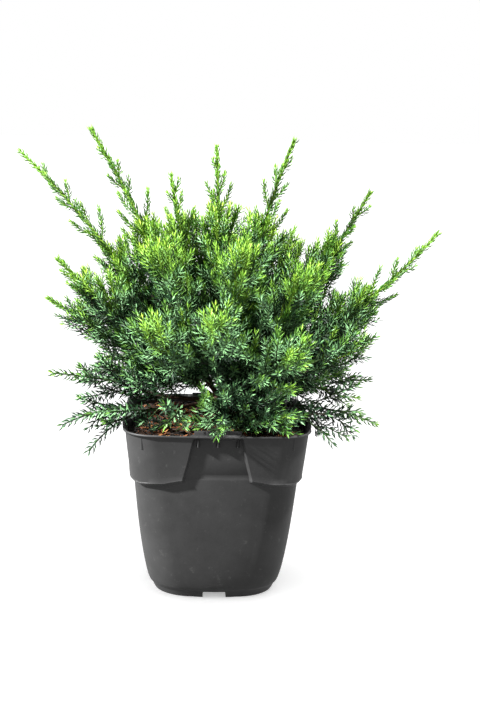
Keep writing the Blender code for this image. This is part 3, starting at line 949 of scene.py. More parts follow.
def tubes(paths: np.ndarray, radii: np.ndarray, sides: int) -> tuple[np.ndarray, np.ndarray]:
    """Closed tubes along many paths at once.

    Args:
        paths: Points of each path, by path and step.
        radii: The radius at each of those points.
        sides: The number of sides.

    Returns:
        Corners and triangles, path by path.
    """
    count, steps = radii.shape
    ways = unit(np.gradient(paths, axis=1))
    upright = np.abs(ways.mean(axis=1, keepdims=True)[..., 2:]) > 0.9
    first = unit(np.cross(ways, np.where(upright, np.array([1.0, 0, 0]), np.array([0, 0, 1.0]))))
    second = np.cross(ways, first)
    angles = np.arange(sides) * 2 * math.pi / sides
    ring = first[:, :, None] * np.cos(angles)[:, None] + second[:, :, None] * np.sin(angles)[:, None]
    points = (paths[:, :, None] + ring * radii[:, :, None, None]).reshape(-1, 3)
    faces = []
    for step in range(steps - 1):
        for side in range(sides):
            after = (side + 1) % sides
            low, high = step * sides, (step + 1) * sides
            faces.append((low + side, low + after, high + after))
            faces.append((low + side, high + after, high + side))
    top = (steps - 1) * sides
    for side in range(1, sides - 1):
        faces.append((0, side + 1, side))
        faces.append((top, top + side, top + side + 1))
    starts = np.arange(count)[:, None, None] * steps * sides
    return points, (np.array(faces)[None] + starts).reshape(-1, 3)


def along_paths(paths: np.ndarray, owners: np.ndarray, shares: np.ndarray) -> tuple[np.ndarray, np.ndarray]:
    """Points on paths of equal steps, and the way that each path runs there.

    Args:
        paths: Points of each path, by path and step.
        owners: The number of the path that each point lies on.
        shares: How far along it the point lies, from 0 to 1.

    Returns:
        The points and their unit ways.
    """
    steps = paths.shape[1] - 1
    places = np.clip(shares, 0, 0.9999) * steps
    low = places.astype(int)
    part = (places - low)[:, None]
    start, end = paths[owners, low], paths[owners, low + 1]
    return start + (end - start) * part, unit(end - start)


def dealt(counts: np.ndarray) -> tuple[np.ndarray, np.ndarray]:
    """The owner of each item, and the item's number with that owner, where owners have different counts."""
    owners = np.repeat(np.arange(len(counts)), counts)
    return owners, np.arange(len(owners)) - (np.cumsum(counts) - counts)[owners]


def curved(roots: np.ndarray, ways: np.ndarray, pulls: np.ndarray, lengths: np.ndarray, curl: float, steps: int) -> np.ndarray:
    """Paths that leave their roots one way and bend over to another.

    Args:
        roots: Where the paths start.
        ways: The ways that they start.
        pulls: The ways that they bend to.
        lengths: Their lengths.
        curl: How far they bend, from 0 to 1.
        steps: The number of equal steps.

    Returns:
        The points of each path, by path and step.
    """
    points = [roots]
    for step in range(steps):
        bent = curl * (step + 0.5) / steps
        points.append(points[-1] + unit(ways * (1 - bent) + pulls * bent) * (lengths / steps)[:, None])
    return np.stack(points, axis=1)


# The crown


@dataclass(frozen=True)
class Mass:
    """One mass of foliage, by where its stem ends as seen from the fork.

    azimuth is in degrees round the pot, 0 to the right and 90 to the back, elevation in degrees above level.
    reach runs from the fork to the stem's tip and crown to where its side shoots end. The stem starts arch
    degrees higher than it ends.
    """

    name: str
    azimuth: float
    elevation: float
    reach: float
    crown: float
    arch: float = 0
    habit: Habit = Habit.MOUND

    def heading(self) -> np.ndarray:
        """The direction that stands for the mass when the crown is shared out."""
        return direction(self.azimuth, self.elevation + self.arch / 2)


@dataclass(frozen=True)
class Bough:
    """One limb from the fork, its length from the fork's centre, and the masses that it carries."""

    name: str
    length: float
    masses: tuple

    def heading(self) -> np.ndarray:
        """The direction in which the bough leaves the fork."""
        return unit(sum(direction(mass.azimuth, mass.elevation + mass.arch) for mass in self.masses))


def direction(azimuth: float, elevation: float) -> np.ndarray:
    """A unit vector from two angles in degrees."""
    turn, rise = np.radians(azimuth), np.radians(elevation)
    return np.array([np.cos(rise) * np.cos(turn), np.cos(rise) * np.sin(turn), np.sin(rise)])


BOUGHS = (
    Bough("left_upper", 33 * MM, (
        Mass("far_left_leader", 172, 50, 170 * MM, 100 * MM, 3, Habit.UPRIGHT),
        Mass("left_leader", 184, 64, 159 * MM, 104 * MM, 2, Habit.UPRIGHT),
    )),
    Bough("left_rising", 30 * MM, (
        Mass("left_high", 188, 41.5, 116 * MM, 100 * MM, -2, Habit.UPRIGHT),
        Mass("left_mid", 171, 29, 108 * MM, 92 * MM),
    )),
    Bough("left_spreading", 30 * MM, (
        Mass("left_low", 184, 10, 91 * MM, 76 * MM, 2, Habit.SPREADING),
        Mass("left_droop", 197, -5, 87 * MM, 74 * MM, 7, Habit.FEATHER),
    )),
    Bough("left_front_low", 24 * MM, (
        Mass("left_front_droop", 209, -13, 80 * MM, 68 * MM, 16, Habit.FEATHER),
        Mass("front_left_low", 233, -4, 50 * MM, 50 * MM, 8, Habit.FEATHER),
    )),
    Bough("right_upper", 33 * MM, (
        Mass("far_right_leader", 351, 40.5, 145 * MM, 98 * MM, -4, Habit.UPRIGHT),
        Mass("right_front_mid", 336, 27, 94 * MM, 88 * MM),
    )),
    Bough("right_back_upper", 33 * MM, (
        Mass("right_low_leader", 3, 56, 136 * MM, 104 * MM, -2, Habit.UPRIGHT),
        Mass("back_right_leader", 36, 62, 103 * MM, 96 * MM, 0, Habit.UPRIGHT),
    )),
    Bough("right_lead", 34 * MM, (
        Mass("right_leader", 341, 75.5, 144 * MM, 100 * MM, 3, Habit.UPRIGHT),
    )),
    Bough("right_rising", 30 * MM, (
        Mass("right_mid", 9, 31, 101 * MM, 94 * MM),
        Mass("right_low", 358, 10, 79 * MM, 70 * MM, 2, Habit.SPREADING),
    )),
    Bough("right_drooping", 28 * MM, (
        Mass("right_droop", 345, -4, 83 * MM, 72 * MM, 6, Habit.FEATHER),
        Mass("right_front_droop", 325, -10, 69 * MM, 62 * MM, 13, Habit.FEATHER),
    )),
    Bough("top", 34 * MM, (
        Mass("top_leader", 134, 87, 135 * MM, 103 * MM, 0, Habit.UPRIGHT),
        Mass("thin_leader", 142, 73, 124 * MM, 100 * MM, -2, Habit.UPRIGHT),
    )),
    Bough("front_left", 28 * MM, (
        Mass("front_left_high", 222, 60, 98 * MM, 98 * MM, 0, Habit.UPRIGHT),
        Mass("front_left", 231, 37, 82 * MM, 82 * MM),
    )),
    Bough("front_centre", 28 * MM, (
        Mass("front_top", 282, 66, 94 * MM, 94 * MM, 0, Habit.UPRIGHT),
        Mass("front_centre", 264, 43, 80 * MM, 80 * MM),
    )),
    Bough("front_right", 28 * MM, (
        Mass("front_right_high", 317, 52, 94 * MM, 94 * MM, 0, Habit.UPRIGHT),
        Mass("front_right", 302, 29, 78 * MM, 78 * MM),
    )),
    Bough("front_low", 24 * MM, (
        Mass("front_centre_low", 266, -5, 57 * MM, 54 * MM, 8),
        Mass("front_right_low", 299, -2, 64 * MM, 60 * MM, 6),
    )),
    Bough("back_left", 30 * MM, (
        Mass("back_left", 141, 38, 92 * MM, 92 * MM),
        Mass("back_left_low", 147, 6, 84 * MM, 82 * MM, 3, Habit.SPREADING),
    )),
    Bough("back", 30 * MM, (
        Mass("back_high", 78, 56, 98 * MM, 98 * MM, 0, Habit.UPRIGHT),
        Mass("back", 96, 34, 92 * MM, 92 * MM),
    )),
    Bough("back_right", 30 * MM, (
        Mass("back_right", 46, 36, 92 * MM, 92 * MM),
        Mass("back_right_low", 36, 8, 82 * MM, 80 * MM, 3, Habit.SPREADING),
    )),
    Bough("back_low", 28 * MM, (
        Mass("back_low", 90, 4, 84 * MM, 82 * MM, 3, Habit.SPREADING),
    )),
)
FORK = np.array([3, 3, 97]) * MM
FORK_RADIUS = 7 * MM


@dataclass
class Limbs:
    """The trunk, with its root flare and the swollen fork, and the boughs that leave it."""

    foot: tuple = (1 * MM, 1 * MM, 88.7 * MM)
    flare: tuple = ((0, 7.6 * MM, 0.9 * MM), (0.12, 6.08 * MM, 0.7 * MM), (0.32, 5 * MM, 0.25 * MM))
    fork_angles: tuple = (128, 110, 90, 65, 40, 14)
    lobes: int = 5
    sides: int = 40
    levels: int = 46
    bark_depth: float = 0.35 * MM
    bough_radius: tuple = (1.25 * MM, 0.95 * MM)
    bough_sides: int = 12
    bough_levels: int = 26
    finish: BarkFinish = field(default_factory=BarkFinish)

    def relief(self, angle: float, along: float, seed: float) -> float:
        """The bark's height at an angle round a limb and a distance along it, from -1 to 1."""
        place = Vector((math.cos(angle) * 2.4, math.sin(angle) * 2.4 + seed, along / (9 * MM)))
        return noise.noise(place) + 0.6 * noise.noise(place * 2.7)

    def trunk(self) -> bmesh.types.BMesh:
        """The trunk from its foot on the soil round the fork."""
        height = FORK[2] - self.foot[2]
        rows = list(self.flare)
        for polar in self.fork_angles:
            angle = math.radians(polar)
            rows.append((1 + FORK_RADIUS * math.cos(angle) / height, FORK_RADIUS * math.sin(angle), 0))
        table = np.array(rows)
        spots = np.linspace(0, len(rows) - 1, self.levels)
        rings = Rings()
        for share, radius, lobe in zip(*(np.interp(spots, range(len(rows)), column) for column in table.T)):
            middle = np.array(self.foot) + (FORK - np.array(self.foot)) * min(share, 1)
            middle[2] = self.foot[2] + share * height
            ring = []
            for side in range(self.sides):
                angle = side * 2 * math.pi / self.sides
                out = radius + lobe * math.cos(self.lobes * angle)
                out += self.bark_depth * min(radius / self.bough_radius[0], 1) * self.relief(angle, middle[2], 0)
                ring.append(Vector(middle + np.array([math.cos(angle), math.sin(angle), 0]) * out))
            rings.add(ring)
        return rings.close()

    def bough(self, bough: Bough, seed: int) -> bmesh.types.BMesh:
        """One bough, from inside the fork's swelling to where its masses start.

        Args:
            bough: The bough.
            seed: The number that makes its bark differ from the others'.

        Returns:
            The limb.
        """
        way = bough.heading()
        first, second = across(way)
        rings = Rings()
        for level in range(self.bough_levels):
            share = level / (self.bough_levels - 1)
            distance = FORK_RADIUS - 1.2 * MM + (bough.length + 0.4 * MM - FORK_RADIUS + 1.2 * MM) * share
            radius = self.bough_radius[0] + (self.bough_radius[1] - self.bough_radius[0]) * share
            ring = []
            for side in range(self.bough_sides):
                angle = side * 2 * math.pi / self.bough_sides
                out = radius * (1 + 0.14 * self.relief(angle, distance, 7.3 * (seed + 1)))
                ring.append(Vector(FORK + way * distance + (first * math.cos(angle) + second * math.sin(angle)) * out))
            rings.add(ring)
        return rings.close()

    def build(self) -> list[bpy.types.Object]:
        """Builds the trunk and every bough."""
        material = self.finish.material()
        made = [finished("trunk_bark", mesh_from_bmesh("trunk_bark", self.trunk(), [material]), ["trunk"])]
        for seed, bough in enumerate(BOUGHS):
            name = f"{bough.name}_bough"
            mesh = mesh_from_bmesh(name, self.bough(bough, seed), [material])
            made.append(finished(name, mesh, [f"bough_{bough.name}"]))
        return made


@dataclass
class Space:
    """One mass's share of the room round the fork, from its bough's tip outwards."""

    mass: Mass
    bough: Bough
    pot: Pot
    soil: Soil
    margin: float = 1.2 * MM
    inner_gap: float = 3 * MM

    def __post_init__(self) -> None:
        """Works out the walls between this share and its neighbours'."""
        own = self.mass.heading()
        others = [m.heading() for b in BOUGHS for m in b.masses if m.name != self.mass.name]
        self.walls = unit(own - np.array(others))
        self.first = self.bough.length + GAP
        self.nearest = FORK_RADIUS + self.inner_gap

    def clearance(self, points: np.ndarray) -> np.ndarray:
        """The distances from points to the nearest neighbour's share."""
        return ((points - FORK) @ self.walls.T).min(axis=-1)

    def clear_of_pot(self, points: np.ndarray) -> np.ndarray:
        """Whether points stay off the pot's wall and the soil."""
        pot = self.pot
        flat = np.sort(np.abs(points[..., :2]), axis=-1)
        sideways, outwards = flat[..., 0], flat[..., 1]
        height = points[..., 2]
        rim = np.where(sideways < pot.tab_half + self.margin, pot.tab_top, pot.height) + self.margin / 2
        outside = outwards > pot.lip_half + pot.side_bulge + self.margin
        over_rim = outwards > pot.body_half(pot.height) - pot.wall - self.margin
        return outside | np.where(over_rim, height > rim, height > self.soil.top + self.margin)

    def holds(self, points: np.ndarray, gap: float) -> np.ndarray:
        """Whether points lie in the share, at least a gap inside it or, below 0, at most that far past it."""
        far = np.linalg.norm(points - FORK, axis=-1) >= self.nearest
        return (self.clearance(points) >= gap) & far & self.clear_of_pot(points)


class Stem:
    """A mass's stem, from the bough's tip over to the mass's own line and along that."""

    steps = 14
    blend = 20 * MM
    radius = (1.0 * MM, 0.65 * MM)
    low_radius = (0.9 * MM, 0.4 * MM)

    def __init__(self, space: Space) -> None:
        """Works out the stem's points."""
        mass, bough = space.mass, space.bough
        self.first = space.first
        self.reach = mass.reach
        self.bough = bough.heading()
        start, share = bough.heading(), 0.0
        while space.clearance(FORK + start * self.first) < self.radius[0] + 0.2 * MM and share < 1:
            share += 0.02
            start = unit(bough.heading() * (1 - share) + mass.heading() * share)
        points = []
        for distance in np.linspace(self.first, mass.reach, self.steps + 1):
            own = direction(mass.azimuth, mass.elevation + mass.arch * (1 - (distance / mass.reach) ** 3))
            over = min((distance - self.first) / self.blend, 1)
            over = over * over * (3 - 2 * over)
            points.append(FORK + unit(start * (1 - over) + own * over) * distance)
        self.path = np.array(points)[None]

    def at(self, distances: np.ndarray) -> tuple[np.ndarray, np.ndarray]:
        """Points at distances from the fork on the bough and the stem, and the ways that they run there."""
        shares = (distances - self.first) / (self.reach - self.first)
        points, ways = along_paths(self.path, np.zeros(len(distances), int), shares)
        inner = (distances < self.first)[:, None]
        points = np.where(inner, FORK + self.bough * distances[:, None], points)
        return points, np.where(inner, self.bough, ways)


@dataclass
class Twigs:
    """Many twigs of one kind: their paths, their lengths and a tone for each, from how fresh its growth is and how much
    shade is painted on it.
    """

    paths: np.ndarray
    lengths: np.ndarray
    # tones mix the freshness of the growth with painted shade
    tones: np.ndarray

    def kept(self, which: np.ndarray) -> "Twigs":
        """Only some of the twigs."""
        return Twigs(self.paths[which], self.lengths[which], self.tones[which])


@dataclass
class Foliage:
    """The twigs and needles of every mass."""

    pot: Pot
    soil: Soil
    attempts: tuple = (1, 0.8, 0.62, 0.45)
    swings: tuple = (0, math.radians(40), math.radians(-40), math.radians(90), math.radians(-90))
    leaving: tuple = (math.radians(50), math.radians(34))
    shoots_end: float = 5 * MM
    past_crown: float = 8 * MM
    upturn: float = 1.4
    full_lift: float = 28
    shoot_shortening: float = 0.35
    shoot_steps: int = 6
    twig_steps: int = 3
    leader_past: float = 14 * MM
    leader_before: float = 26 * MM
    leader_bare: float = 4 * MM
    leader_bare_share: float = 0.2
    leader_twig_spacing: float = 5.4 * MM
    leader_twig_length: tuple = (29 * MM, 7 * MM)
    leader_lift: float = 0.6
    leader_coat: Coat = Coat((4.8 * MM, 4 * MM), (math.radians(38), math.radians(26)), 1 * MM, 1.4 * MM, 1.0)
    leader_twig_coat: Coat = Coat((3.8 * MM, 3 * MM), (math.radians(46), math.radians(22)), 0.85 * MM, 1.1 * MM, 1.5)
    twig_ages: tuple = (0.0, 0.4)
    stem_ages: tuple = (0.28, 0.5)
    low_stem_ages: tuple = (0.25, 1.1)
    tip_tone: float = 0.3
    strand_contrast: float = 0.12
    freshest: float = 0.62
    leader_freshest: float = 0.42
    needle_waist: float = 0.52
    needle_depth: float = 0.6
    low: float = 88 * MM
    high: float = 205 * MM

    def __post_init__(self) -> None:
        """Makes the plain greens and browns that all masses share."""
        self.greens = []
        for tone in Needles:
            for side, colour in zip(("back", "face"), tone.value):
                self.greens.append(LeafFinish(f"needle_{tone.name.lower()}_{side}", colour).material())
        self.woods = [LeafFinish(f"twig_{age.name.lower()}", age.value, 0.7).material() for age in Wood]

    def tones(self, points: np.ndarray, mass: Mass, rng: np.random.Generator) -> np.ndarray:
        """How fresh the growth at some points is, with painted shade: from 0 deep inside the crown and low down, where
        shade is painted, to 1 at the fresh top and outside.
        """
        height = (points[:, 2] - self.low) / (self.high - self.low)
        outer = np.linalg.norm(points - FORK, axis=-1) / mass.crown
        # Lighter high up and far out, darker low down and near the fork: partly the fresher growth at the top and
        # outside, partly painted shade.
        tones = 0.1 + 0.27 * height + (0.12 + 0.24 * height) * np.clip(outer, 0, 1.1) ** 2.5
        tones += rng.normal(0, 0.1, len(points))
        # The habit's drop darkens all its tones as painted shade.
        return np.minimum(tones, self.freshest) - mass.habit.value.shading

    def lift(self, mass: Mass) -> float:
        """How strongly a mass's shoots turn up: fully in the upper crown and hardly in the low masses."""
        return self.upturn * min(max(mass.elevation / self.full_lift, mass.habit.value.least_lift), 1)

    def side_shoots(self, space: Space, stem: Stem, rng: np.random.Generator) -> Twigs:
        """Side shoots a golden angle apart, shorter towards the stem's tip, that turn to where there is room.

        Args:
            space: The mass's share of the room.
            stem: Its stem.
            rng: The seeded source of what varies.

        Returns:
            The shoots.
        """
        mass, growth = space.mass, space.mass.habit.value
        first, last = FORK_RADIUS + growth.first_shoot, mass.crown - self.shoots_end
        count = round((last - first) / growth.shoot_spacing)
        shares = (np.arange(count) + rng.uniform(0.2, 0.8, count)) / count
        distances = first + (last - first) * shares
        roots, along = stem.at(distances)
        angles = self.leaving[0] + (self.leaving[1] - self.leaving[0]) * shares + rng.normal(0, 0.1, count)
        wanted = growth.shoot_longest * (1 - self.shoot_shortening * shares) * rng.uniform(0.6, 1.15, count)
        wanted = np.minimum(wanted, (mass.crown - distances) / np.cos(self.leaving[1]))
        rolls = rng.uniform(0, 2 * math.pi) + np.arange(count) * GOLDEN_ANGLE
        pulls = unit(along + np.array([0, 0, self.lift(mass)]))
        paths = np.zeros((count, self.shoot_steps + 1, 3))
        lengths = np.zeros(count)
        for part, swing in itertools.product(self.attempts, self.swings):
            left = np.flatnonzero(lengths == 0)
            ways = turned(along[left], angles[left], rolls[left] + swing)
            sizes = wanted[left] * part
            tried = curved(roots[left], ways, pulls[left], sizes, growth.shoot_curl, self.shoot_steps)
            fits = space.holds(tried[:, 1:], -growth.overlap).all(axis=1)
            paths[left[fits]] = tried[fits]
            lengths[left[fits]] = sizes[fits]
        shoots = Twigs(paths, lengths, self.tones(paths[:, self.shoot_steps // 2], mass, rng))
        return shoots.kept(lengths > 0)

    def twiglets(self, space: Space, shoots: Twigs, rng: np.random.Generator) -> Twigs:
        """The short twigs along the shoots.

        Args:
            space: The mass's share of the room.
            shoots: The shoots that bear them.
            rng: The seeded source of what varies.

        Returns:
            The twiglets.
        """
        growth = space.mass.habit.value
        counts = np.maximum((shoots.lengths * 0.8 / growth.twig_spacing).astype(int), 1)
        owners, numbers = dealt(counts)
        shares = 0.12 + 0.8 * (numbers + rng.uniform(0.3, 0.7, len(owners))) / counts[owners]
        roots, along = along_paths(shoots.paths, owners, shares)
        step = math.pi if growth.two_rowed else GOLDEN_ANGLE
        rolls = rng.uniform(0, 2 * math.pi, len(counts))[owners] + numbers * step + rng.normal(0, 0.25, len(owners))
        angles = growth.twig_angle + rng.normal(0, 0.12, len(owners))
        longest, shortest = growth.twig_length
        lengths = (longest + (shortest - longest) * shares) * rng.uniform(0.7, 1.1, len(owners))
        lengths = np.minimum(lengths, shoots.lengths[owners] * (1.15 - shares) * 0.8 + 1.5 * MM)
        ways = turned(along, angles, rolls)
        pulls = unit(along + np.array([0, 0, self.lift(space.mass)]))
        paths = curved(roots, ways, pulls, lengths, 0.5, self.twig_steps)
        tones = shoots.tones[owners] - self.strand_contrast + 0.14 * (shares - 0.5) + rng.normal(0, 0.05, len(owners))
        fits = space.holds(paths[:, 1:], -2 * growth.overlap).all(axis=1)
        limits = space.mass.crown + self.past_crown * rng.uniform(-1, 1, len(counts))[owners]
        fits &= np.linalg.norm(paths[:, -1] - FORK, axis=-1) < limits
        return Twigs(paths, lengths, tones).kept(fits)

    def leader_twigs(self, space: Space, stem: Stem, rng: np.random.Generator) -> Twigs:
        """Small upright twigs on the lower part of a leader, where it runs on past the crown."""
        mass = space.mass
        bare = self.leader_bare + self.leader_bare_share * (mass.reach - mass.crown)
        low, high = mass.crown - self.leader_before, mass.reach - bare
        count = round((high - low) / self.leader_twig_spacing)
        shares = (np.arange(count) + rng.uniform(0.2, 0.8, count)) / count
        roots, along = stem.at(low + (high - low) * shares)
        rolls = rng.uniform(0, 2 * math.pi) + np.arange(count) * GOLDEN_ANGLE
        longest, shortest = self.leader_twig_length
        lengths = (longest + (shortest - longest) * shares**0.7) * rng.uniform(0.65, 1.1, count)
        ways = turned(along, np.full(count, math.radians(42)), rolls)
        pulls = unit(along + np.array([0, 0, self.leader_lift]))
        paths = curved(roots, ways, pulls, lengths, 0.6, self.twig_steps)
        twigs = Twigs(paths, lengths, np.minimum(self.tones(roots, mass, rng), self.leader_freshest))
        return twigs.kept(space.holds(paths[:, 1:], -self.past_crown).all(axis=1))

    def needles(self, twigs: Twigs, space: Space, rng: np.random.Generator, bare: float, coat: Coat) -> tuple:
        """Whorls of three needles along twigs, each a closed spindle of six faces.

        Args:
            twigs: The twigs that bear them.
            space: The mass's share of the room.
            rng: The seeded source of what varies.
            bare: The share at the base of each twig without needles.
            coat: How the needles stand on them.

        Returns:
            Corners, triangles and the number of each triangle's green.
        """
        counts = np.maximum((twigs.lengths * (1 - bare) / coat.spacing).astype(int), 2)
        owners, numbers = dealt(counts)
        shares = bare + (1 - bare) * (numbers + 0.5) / counts[owners]
        shares = np.where(numbers == counts[owners] - 1, 0.985, shares)
        roots, along = along_paths(twigs.paths, owners, shares)
        first, second = across(along)
        spins = rng.uniform(0, 2 * math.pi, len(counts))[owners] + numbers * math.pi / 3
        each = [np.repeat(item, 3, axis=0) for item in (roots, along, first, second, shares, owners)]
        roots, along, first, second, shares, owners = each
        total = len(owners)
        rolls = np.repeat(spins, 3) + np.tile(np.arange(3), total // 3) * 2 * math.pi / 3 + rng.normal(0, 0.18, total)
        outs = first * np.cos(rolls)[:, None] + second * np.sin(rolls)[:, None]
        wide, narrow = coat.angle
        longest, shortest = coat.length
        sizes = (longest + (shortest - longest) * shares**3) * rng.uniform(0.85, 1.12, total)
        leans = wide + (narrow - wide) * shares**coat.closing + rng.normal(0, 0.09, total)
        blades = along * np.cos(leans)[:, None] + outs * np.sin(leans)[:, None]
        inwards = along * np.sin(leans)[:, None] - outs * np.cos(leans)[:, None]
        tips = roots + blades * sizes[:, None] + inwards * sizes[:, None] * 0.08
        fits = space.clear_of_pot(tips)
        sides = np.cross(blades, inwards) * coat.width / 2
        waists = roots + blades * (sizes * self.needle_waist)[:, None]
        corners = np.stack([roots, waists + sides, waists - inwards * (coat.width * self.needle_depth), waists - sides, tips], axis=1)
        corners = corners[fits]
        pattern = np.array([(0, 2, 1), (0, 3, 2), (4, 1, 2), (4, 2, 3), (0, 1, 3), (4, 3, 1)])
        faces = pattern[None] + (np.arange(len(corners)) * 5)[:, None, None]
        fresh = np.clip((shares - 0.45) / 0.55, 0, 1) ** 1.4
        # The tones carry painted shade, so needles deep inside and low down get the darkest greens.
        levels = (twigs.tones[owners] + self.tip_tone * fresh) * len(Needles)
        levels = np.clip(levels, 0, len(Needles) - 1).astype(int)[fits]
        kinds = levels[:, None] * 2 + np.array([0, 0, 0, 0, 1, 1])
        return corners.reshape(-1, 3), faces.reshape(-1, 3), kinds.ravel()

    def wood(self, twigs: Twigs, steps: int, radii: tuple[float, float]) -> tuple:
        """The bare twigs as thin three-sided tubes, brown where they are old and where shade is painted on them.

        Args:
            twigs: The twigs.
            steps: The number of straight lengths in each.
            radii: Their radii at the base and at the tip.

        Returns:
            Corners, triangles and the number of each triangle's colour.
        """
        every = (twigs.paths.shape[1] - 1) // steps
        paths = twigs.paths[:, ::every]
        count = paths.shape[1]
        radius = np.broadcast_to(np.linspace(radii[0], radii[1], count), paths.shape[:2])
        points, faces = tubes(paths, radius, 3)
        # The ages follow the tones, so twigs with painted shade come out brown and dark.
        ages = np.digitize(twigs.tones, self.twig_ages)
        return points, faces, np.repeat(ages, len(faces) // len(ages))

    def stem_wood(self, spine: Twigs, stem: Stem, upright: bool) -> tuple:
        """The stem, brown from the bough, ripe in the crown and green past it, sooner where it grows upright."""
        points, faces, _ = self.wood(spine, stem.steps, stem.radius if upright else stem.low_radius)
        shares = np.linspace(0, 1, len(faces))
        return points, faces, np.digitize(shares, self.stem_ages if upright else self.low_stem_ages)

    def build(self) -> list[bpy.types.Object]:
        """Builds the needles and the twigs of every mass."""
        made = []
        number = 0
        for bough in BOUGHS:
            for mass in bough.masses:
                number += 1
                made.extend(self.mass(Space(mass, bough, self.pot, self.soil), np.random.default_rng([23, number])))
        return made

    def mass(self, space: Space, rng: np.random.Generator) -> list[bpy.types.Object]:
        """Builds the needles and the twigs of one mass.

        Args:
            space: The mass's share of the room.
            rng: The seeded source of what varies.

        Returns:
            The two pieces.
        """
        mass, growth = space.mass, space.mass.habit.value
        stem = Stem(space)
        shoots = self.side_shoots(space, stem, rng)
        twiglets = self.twiglets(space, shoots, rng)
        tones = np.minimum(self.tones(stem.path[:, -4], mass, rng), self.leader_freshest)
        spine = Twigs(stem.path, np.array([mass.reach - stem.first]), tones)
        green = [
            self.needles(shoots, space, rng, 0.2, growth.coat),
            self.needles(twiglets, space, rng, 0.12, growth.coat),
        ]
        brown = [
            self.stem_wood(spine, stem, mass.habit is Habit.UPRIGHT),
            self.wood(shoots, 3, (0.5 * MM, 0.3 * MM)),
            self.wood(twiglets, 3, (0.35 * MM, 0.2 * MM)),
        ]
        if mass.elevation > self.full_lift and mass.reach - mass.crown >= self.leader_past:
            upright = self.leader_twigs(space, stem, rng)
            green.append(self.needles(upright, space, rng, 0.1, self.leader_twig_coat))
            green.append(self.needles(spine, space, rng, 0.35, self.leader_coat))
            brown.append(self.wood(upright, 3, (0.45 * MM, 0.25 * MM)))
        else:
            low = mass.elevation < self.full_lift
            green.append(self.needles(spine, space, rng, 0.3, Habit.FEATHER.value.coat if low else growth.coat))
        node = f"foliage_{mass.name}"
        made = []
        for name, parts, materials in ((f"needles_{mass.name}", green, self.greens), (f"twigs_{mass.name}", brown, self.woods)):
            made.append(finished(name, mesh_from_arrays(name, *stacked(parts), materials), [node]))
        return made


def stacked(parts: list[tuple]) -> tuple[np.ndarray, np.ndarray, np.ndarray]:
    """Joins several sets of corners, triangles and colours into one."""
    starts = np.cumsum([0] + [len(points) for points, _, _ in parts])
    points = np.concatenate([points for points, _, _ in parts])
    faces = np.concatenate([faces + start for (_, faces, _), start in zip(parts, starts)])
    return points, faces, np.concatenate([kinds for _, _, kinds in parts])


# The studio


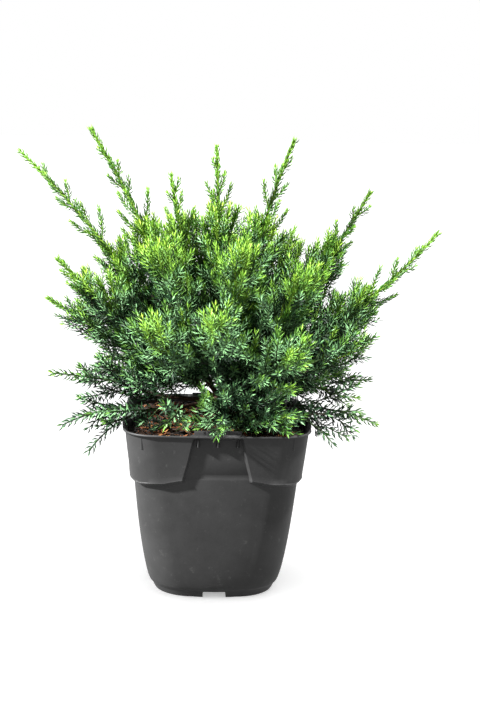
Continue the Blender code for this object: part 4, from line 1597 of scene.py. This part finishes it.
@dataclass
class Studio:
    """A pale floor, soft light and the camera at the photograph's angle."""

    target: Vector = field(default_factory=lambda: Vector((12.255, 0, 120.512)) * MM)
    distance: float = 735.8 * MM
    azimuth: float = math.radians(-2.763)
    elevation: float = math.radians(11.198)
    roll: float = math.radians(1.330)
    lens: float = 69.46
    sensor: float = 36
    floor_half: float = 6
    glow: float = 0.4
    ambient: float = 1.0
    aim: Vector = field(default_factory=lambda: Vector((4, 8, 118)) * MM)
    lamp_radius: float = 0.03
    lamp_blend: float = 0.4
    key_place: tuple = (-0.85, -0.3, 0.67)
    key_cone: float = math.radians(40)
    key_watts: float = 338
    top_place: tuple = (0.34, -0.2, 1.15)
    top_cone: float = math.radians(40)
    top_watts: float = 300

    def floor(self) -> bpy.types.Object:
        """The floor, which is no part of the object."""
        shape = bmesh.new()
        bmesh.ops.create_grid(shape, x_segments=1, y_segments=1, size=self.floor_half)
        mesh = bpy.data.meshes.new("floor")
        shape.to_mesh(mesh)
        shape.free()
        bench = Bench("pale_floor")
        white = (1, 1, 1, 1)
        mesh.materials.append(bench.dress(Base_Color=white, Roughness=0.9, Emission_Color=white, Emission_Strength=self.glow))
        floor = bpy.data.objects.new("floor", mesh)
        bpy.context.scene.collection.objects.link(floor)
        return floor

    def lamp(self, name: str, place: tuple[float, float, float], cone: float, watts: float) -> bpy.types.Object:
        """A soft spotlight that faces the plant.

        Args:
            name: The light's name.
            place: Where it stands, in metres.
            cone: The angle that its beam spans.
            watts: Its power.

        Returns:
            The light.
        """
        light = bpy.data.lights.new(name, "SPOT")
        light.shadow_soft_size = self.lamp_radius
        light.spot_size = cone
        light.spot_blend = self.lamp_blend
        light.energy = watts
        lamp = bpy.data.objects.new(name, light)
        lamp.location = place
        lamp.rotation_euler = (Vector(place) - self.aim).to_track_quat("Z", "Y").to_euler()
        lamp.light_linking.receiver_collection = self.lit
        bpy.context.scene.collection.objects.link(lamp)
        return lamp

    def camera(self) -> bpy.types.Object:
        """The camera, level with the plant's middle and a little above it."""
        turn, rise = self.azimuth, self.elevation
        back = Vector((math.sin(turn) * math.cos(rise), -math.cos(turn) * math.cos(rise), math.sin(rise)))
        right = (-back).cross(Vector((0, 0, 1))).normalized()
        up = right.cross(-back)
        rolled = right * math.cos(self.roll) + up * math.sin(self.roll)
        upright = up * math.cos(self.roll) - right * math.sin(self.roll)
        data = bpy.data.cameras.new("camera")
        data.lens = self.lens
        data.sensor_width = self.sensor
        camera = bpy.data.objects.new("camera", data)
        turned_to = Matrix((rolled, upright, back)).transposed().to_4x4()
        camera.matrix_world = Matrix.Translation(self.target + back * self.distance) @ turned_to
        bpy.context.scene.collection.objects.link(camera)
        bpy.context.scene.camera = camera
        return camera

    def build(self, pieces: list[bpy.types.Object]) -> None:
        """Builds the floor, the camera, the white surround and the lamps, which light the given pieces."""
        self.floor()
        self.lit = bpy.data.collections.new("lit_by_lamps")
        for piece in pieces:
            self.lit.objects.link(piece)
        self.lamp("key_light", self.key_place, self.key_cone, self.key_watts)
        self.lamp("top_light", self.top_place, self.top_cone, self.top_watts)
        self.camera()
        world = bpy.data.worlds.new("white_studio")
        world.use_nodes = True
        background = world.node_tree.nodes["Background"]
        background.inputs["Color"].default_value = (1, 1, 1, 1)
        background.inputs["Strength"].default_value = self.ambient
        bpy.context.scene.world = world
        bpy.context.scene.view_settings.view_transform = "Standard"


def numbers(box: tuple[Vector, Vector]) -> list[list[float]]:
    """A box's two corners as plain lists."""
    return [[float(value) for value in corner] for corner in box]


def main() -> None:
    """Builds the pot, the soil, the limbs, the foliage and the studio."""
    logging.basicConfig(level=logging.INFO, format="%(message)s")
    pot = Pot()
    soil = Soil(pot)
    pieces = [pot.build(), *soil.build(), *Limbs().build(), *Foliage(pot, soil).build()]
    Studio().build(pieces)


if __name__ == "__main__":
    main()
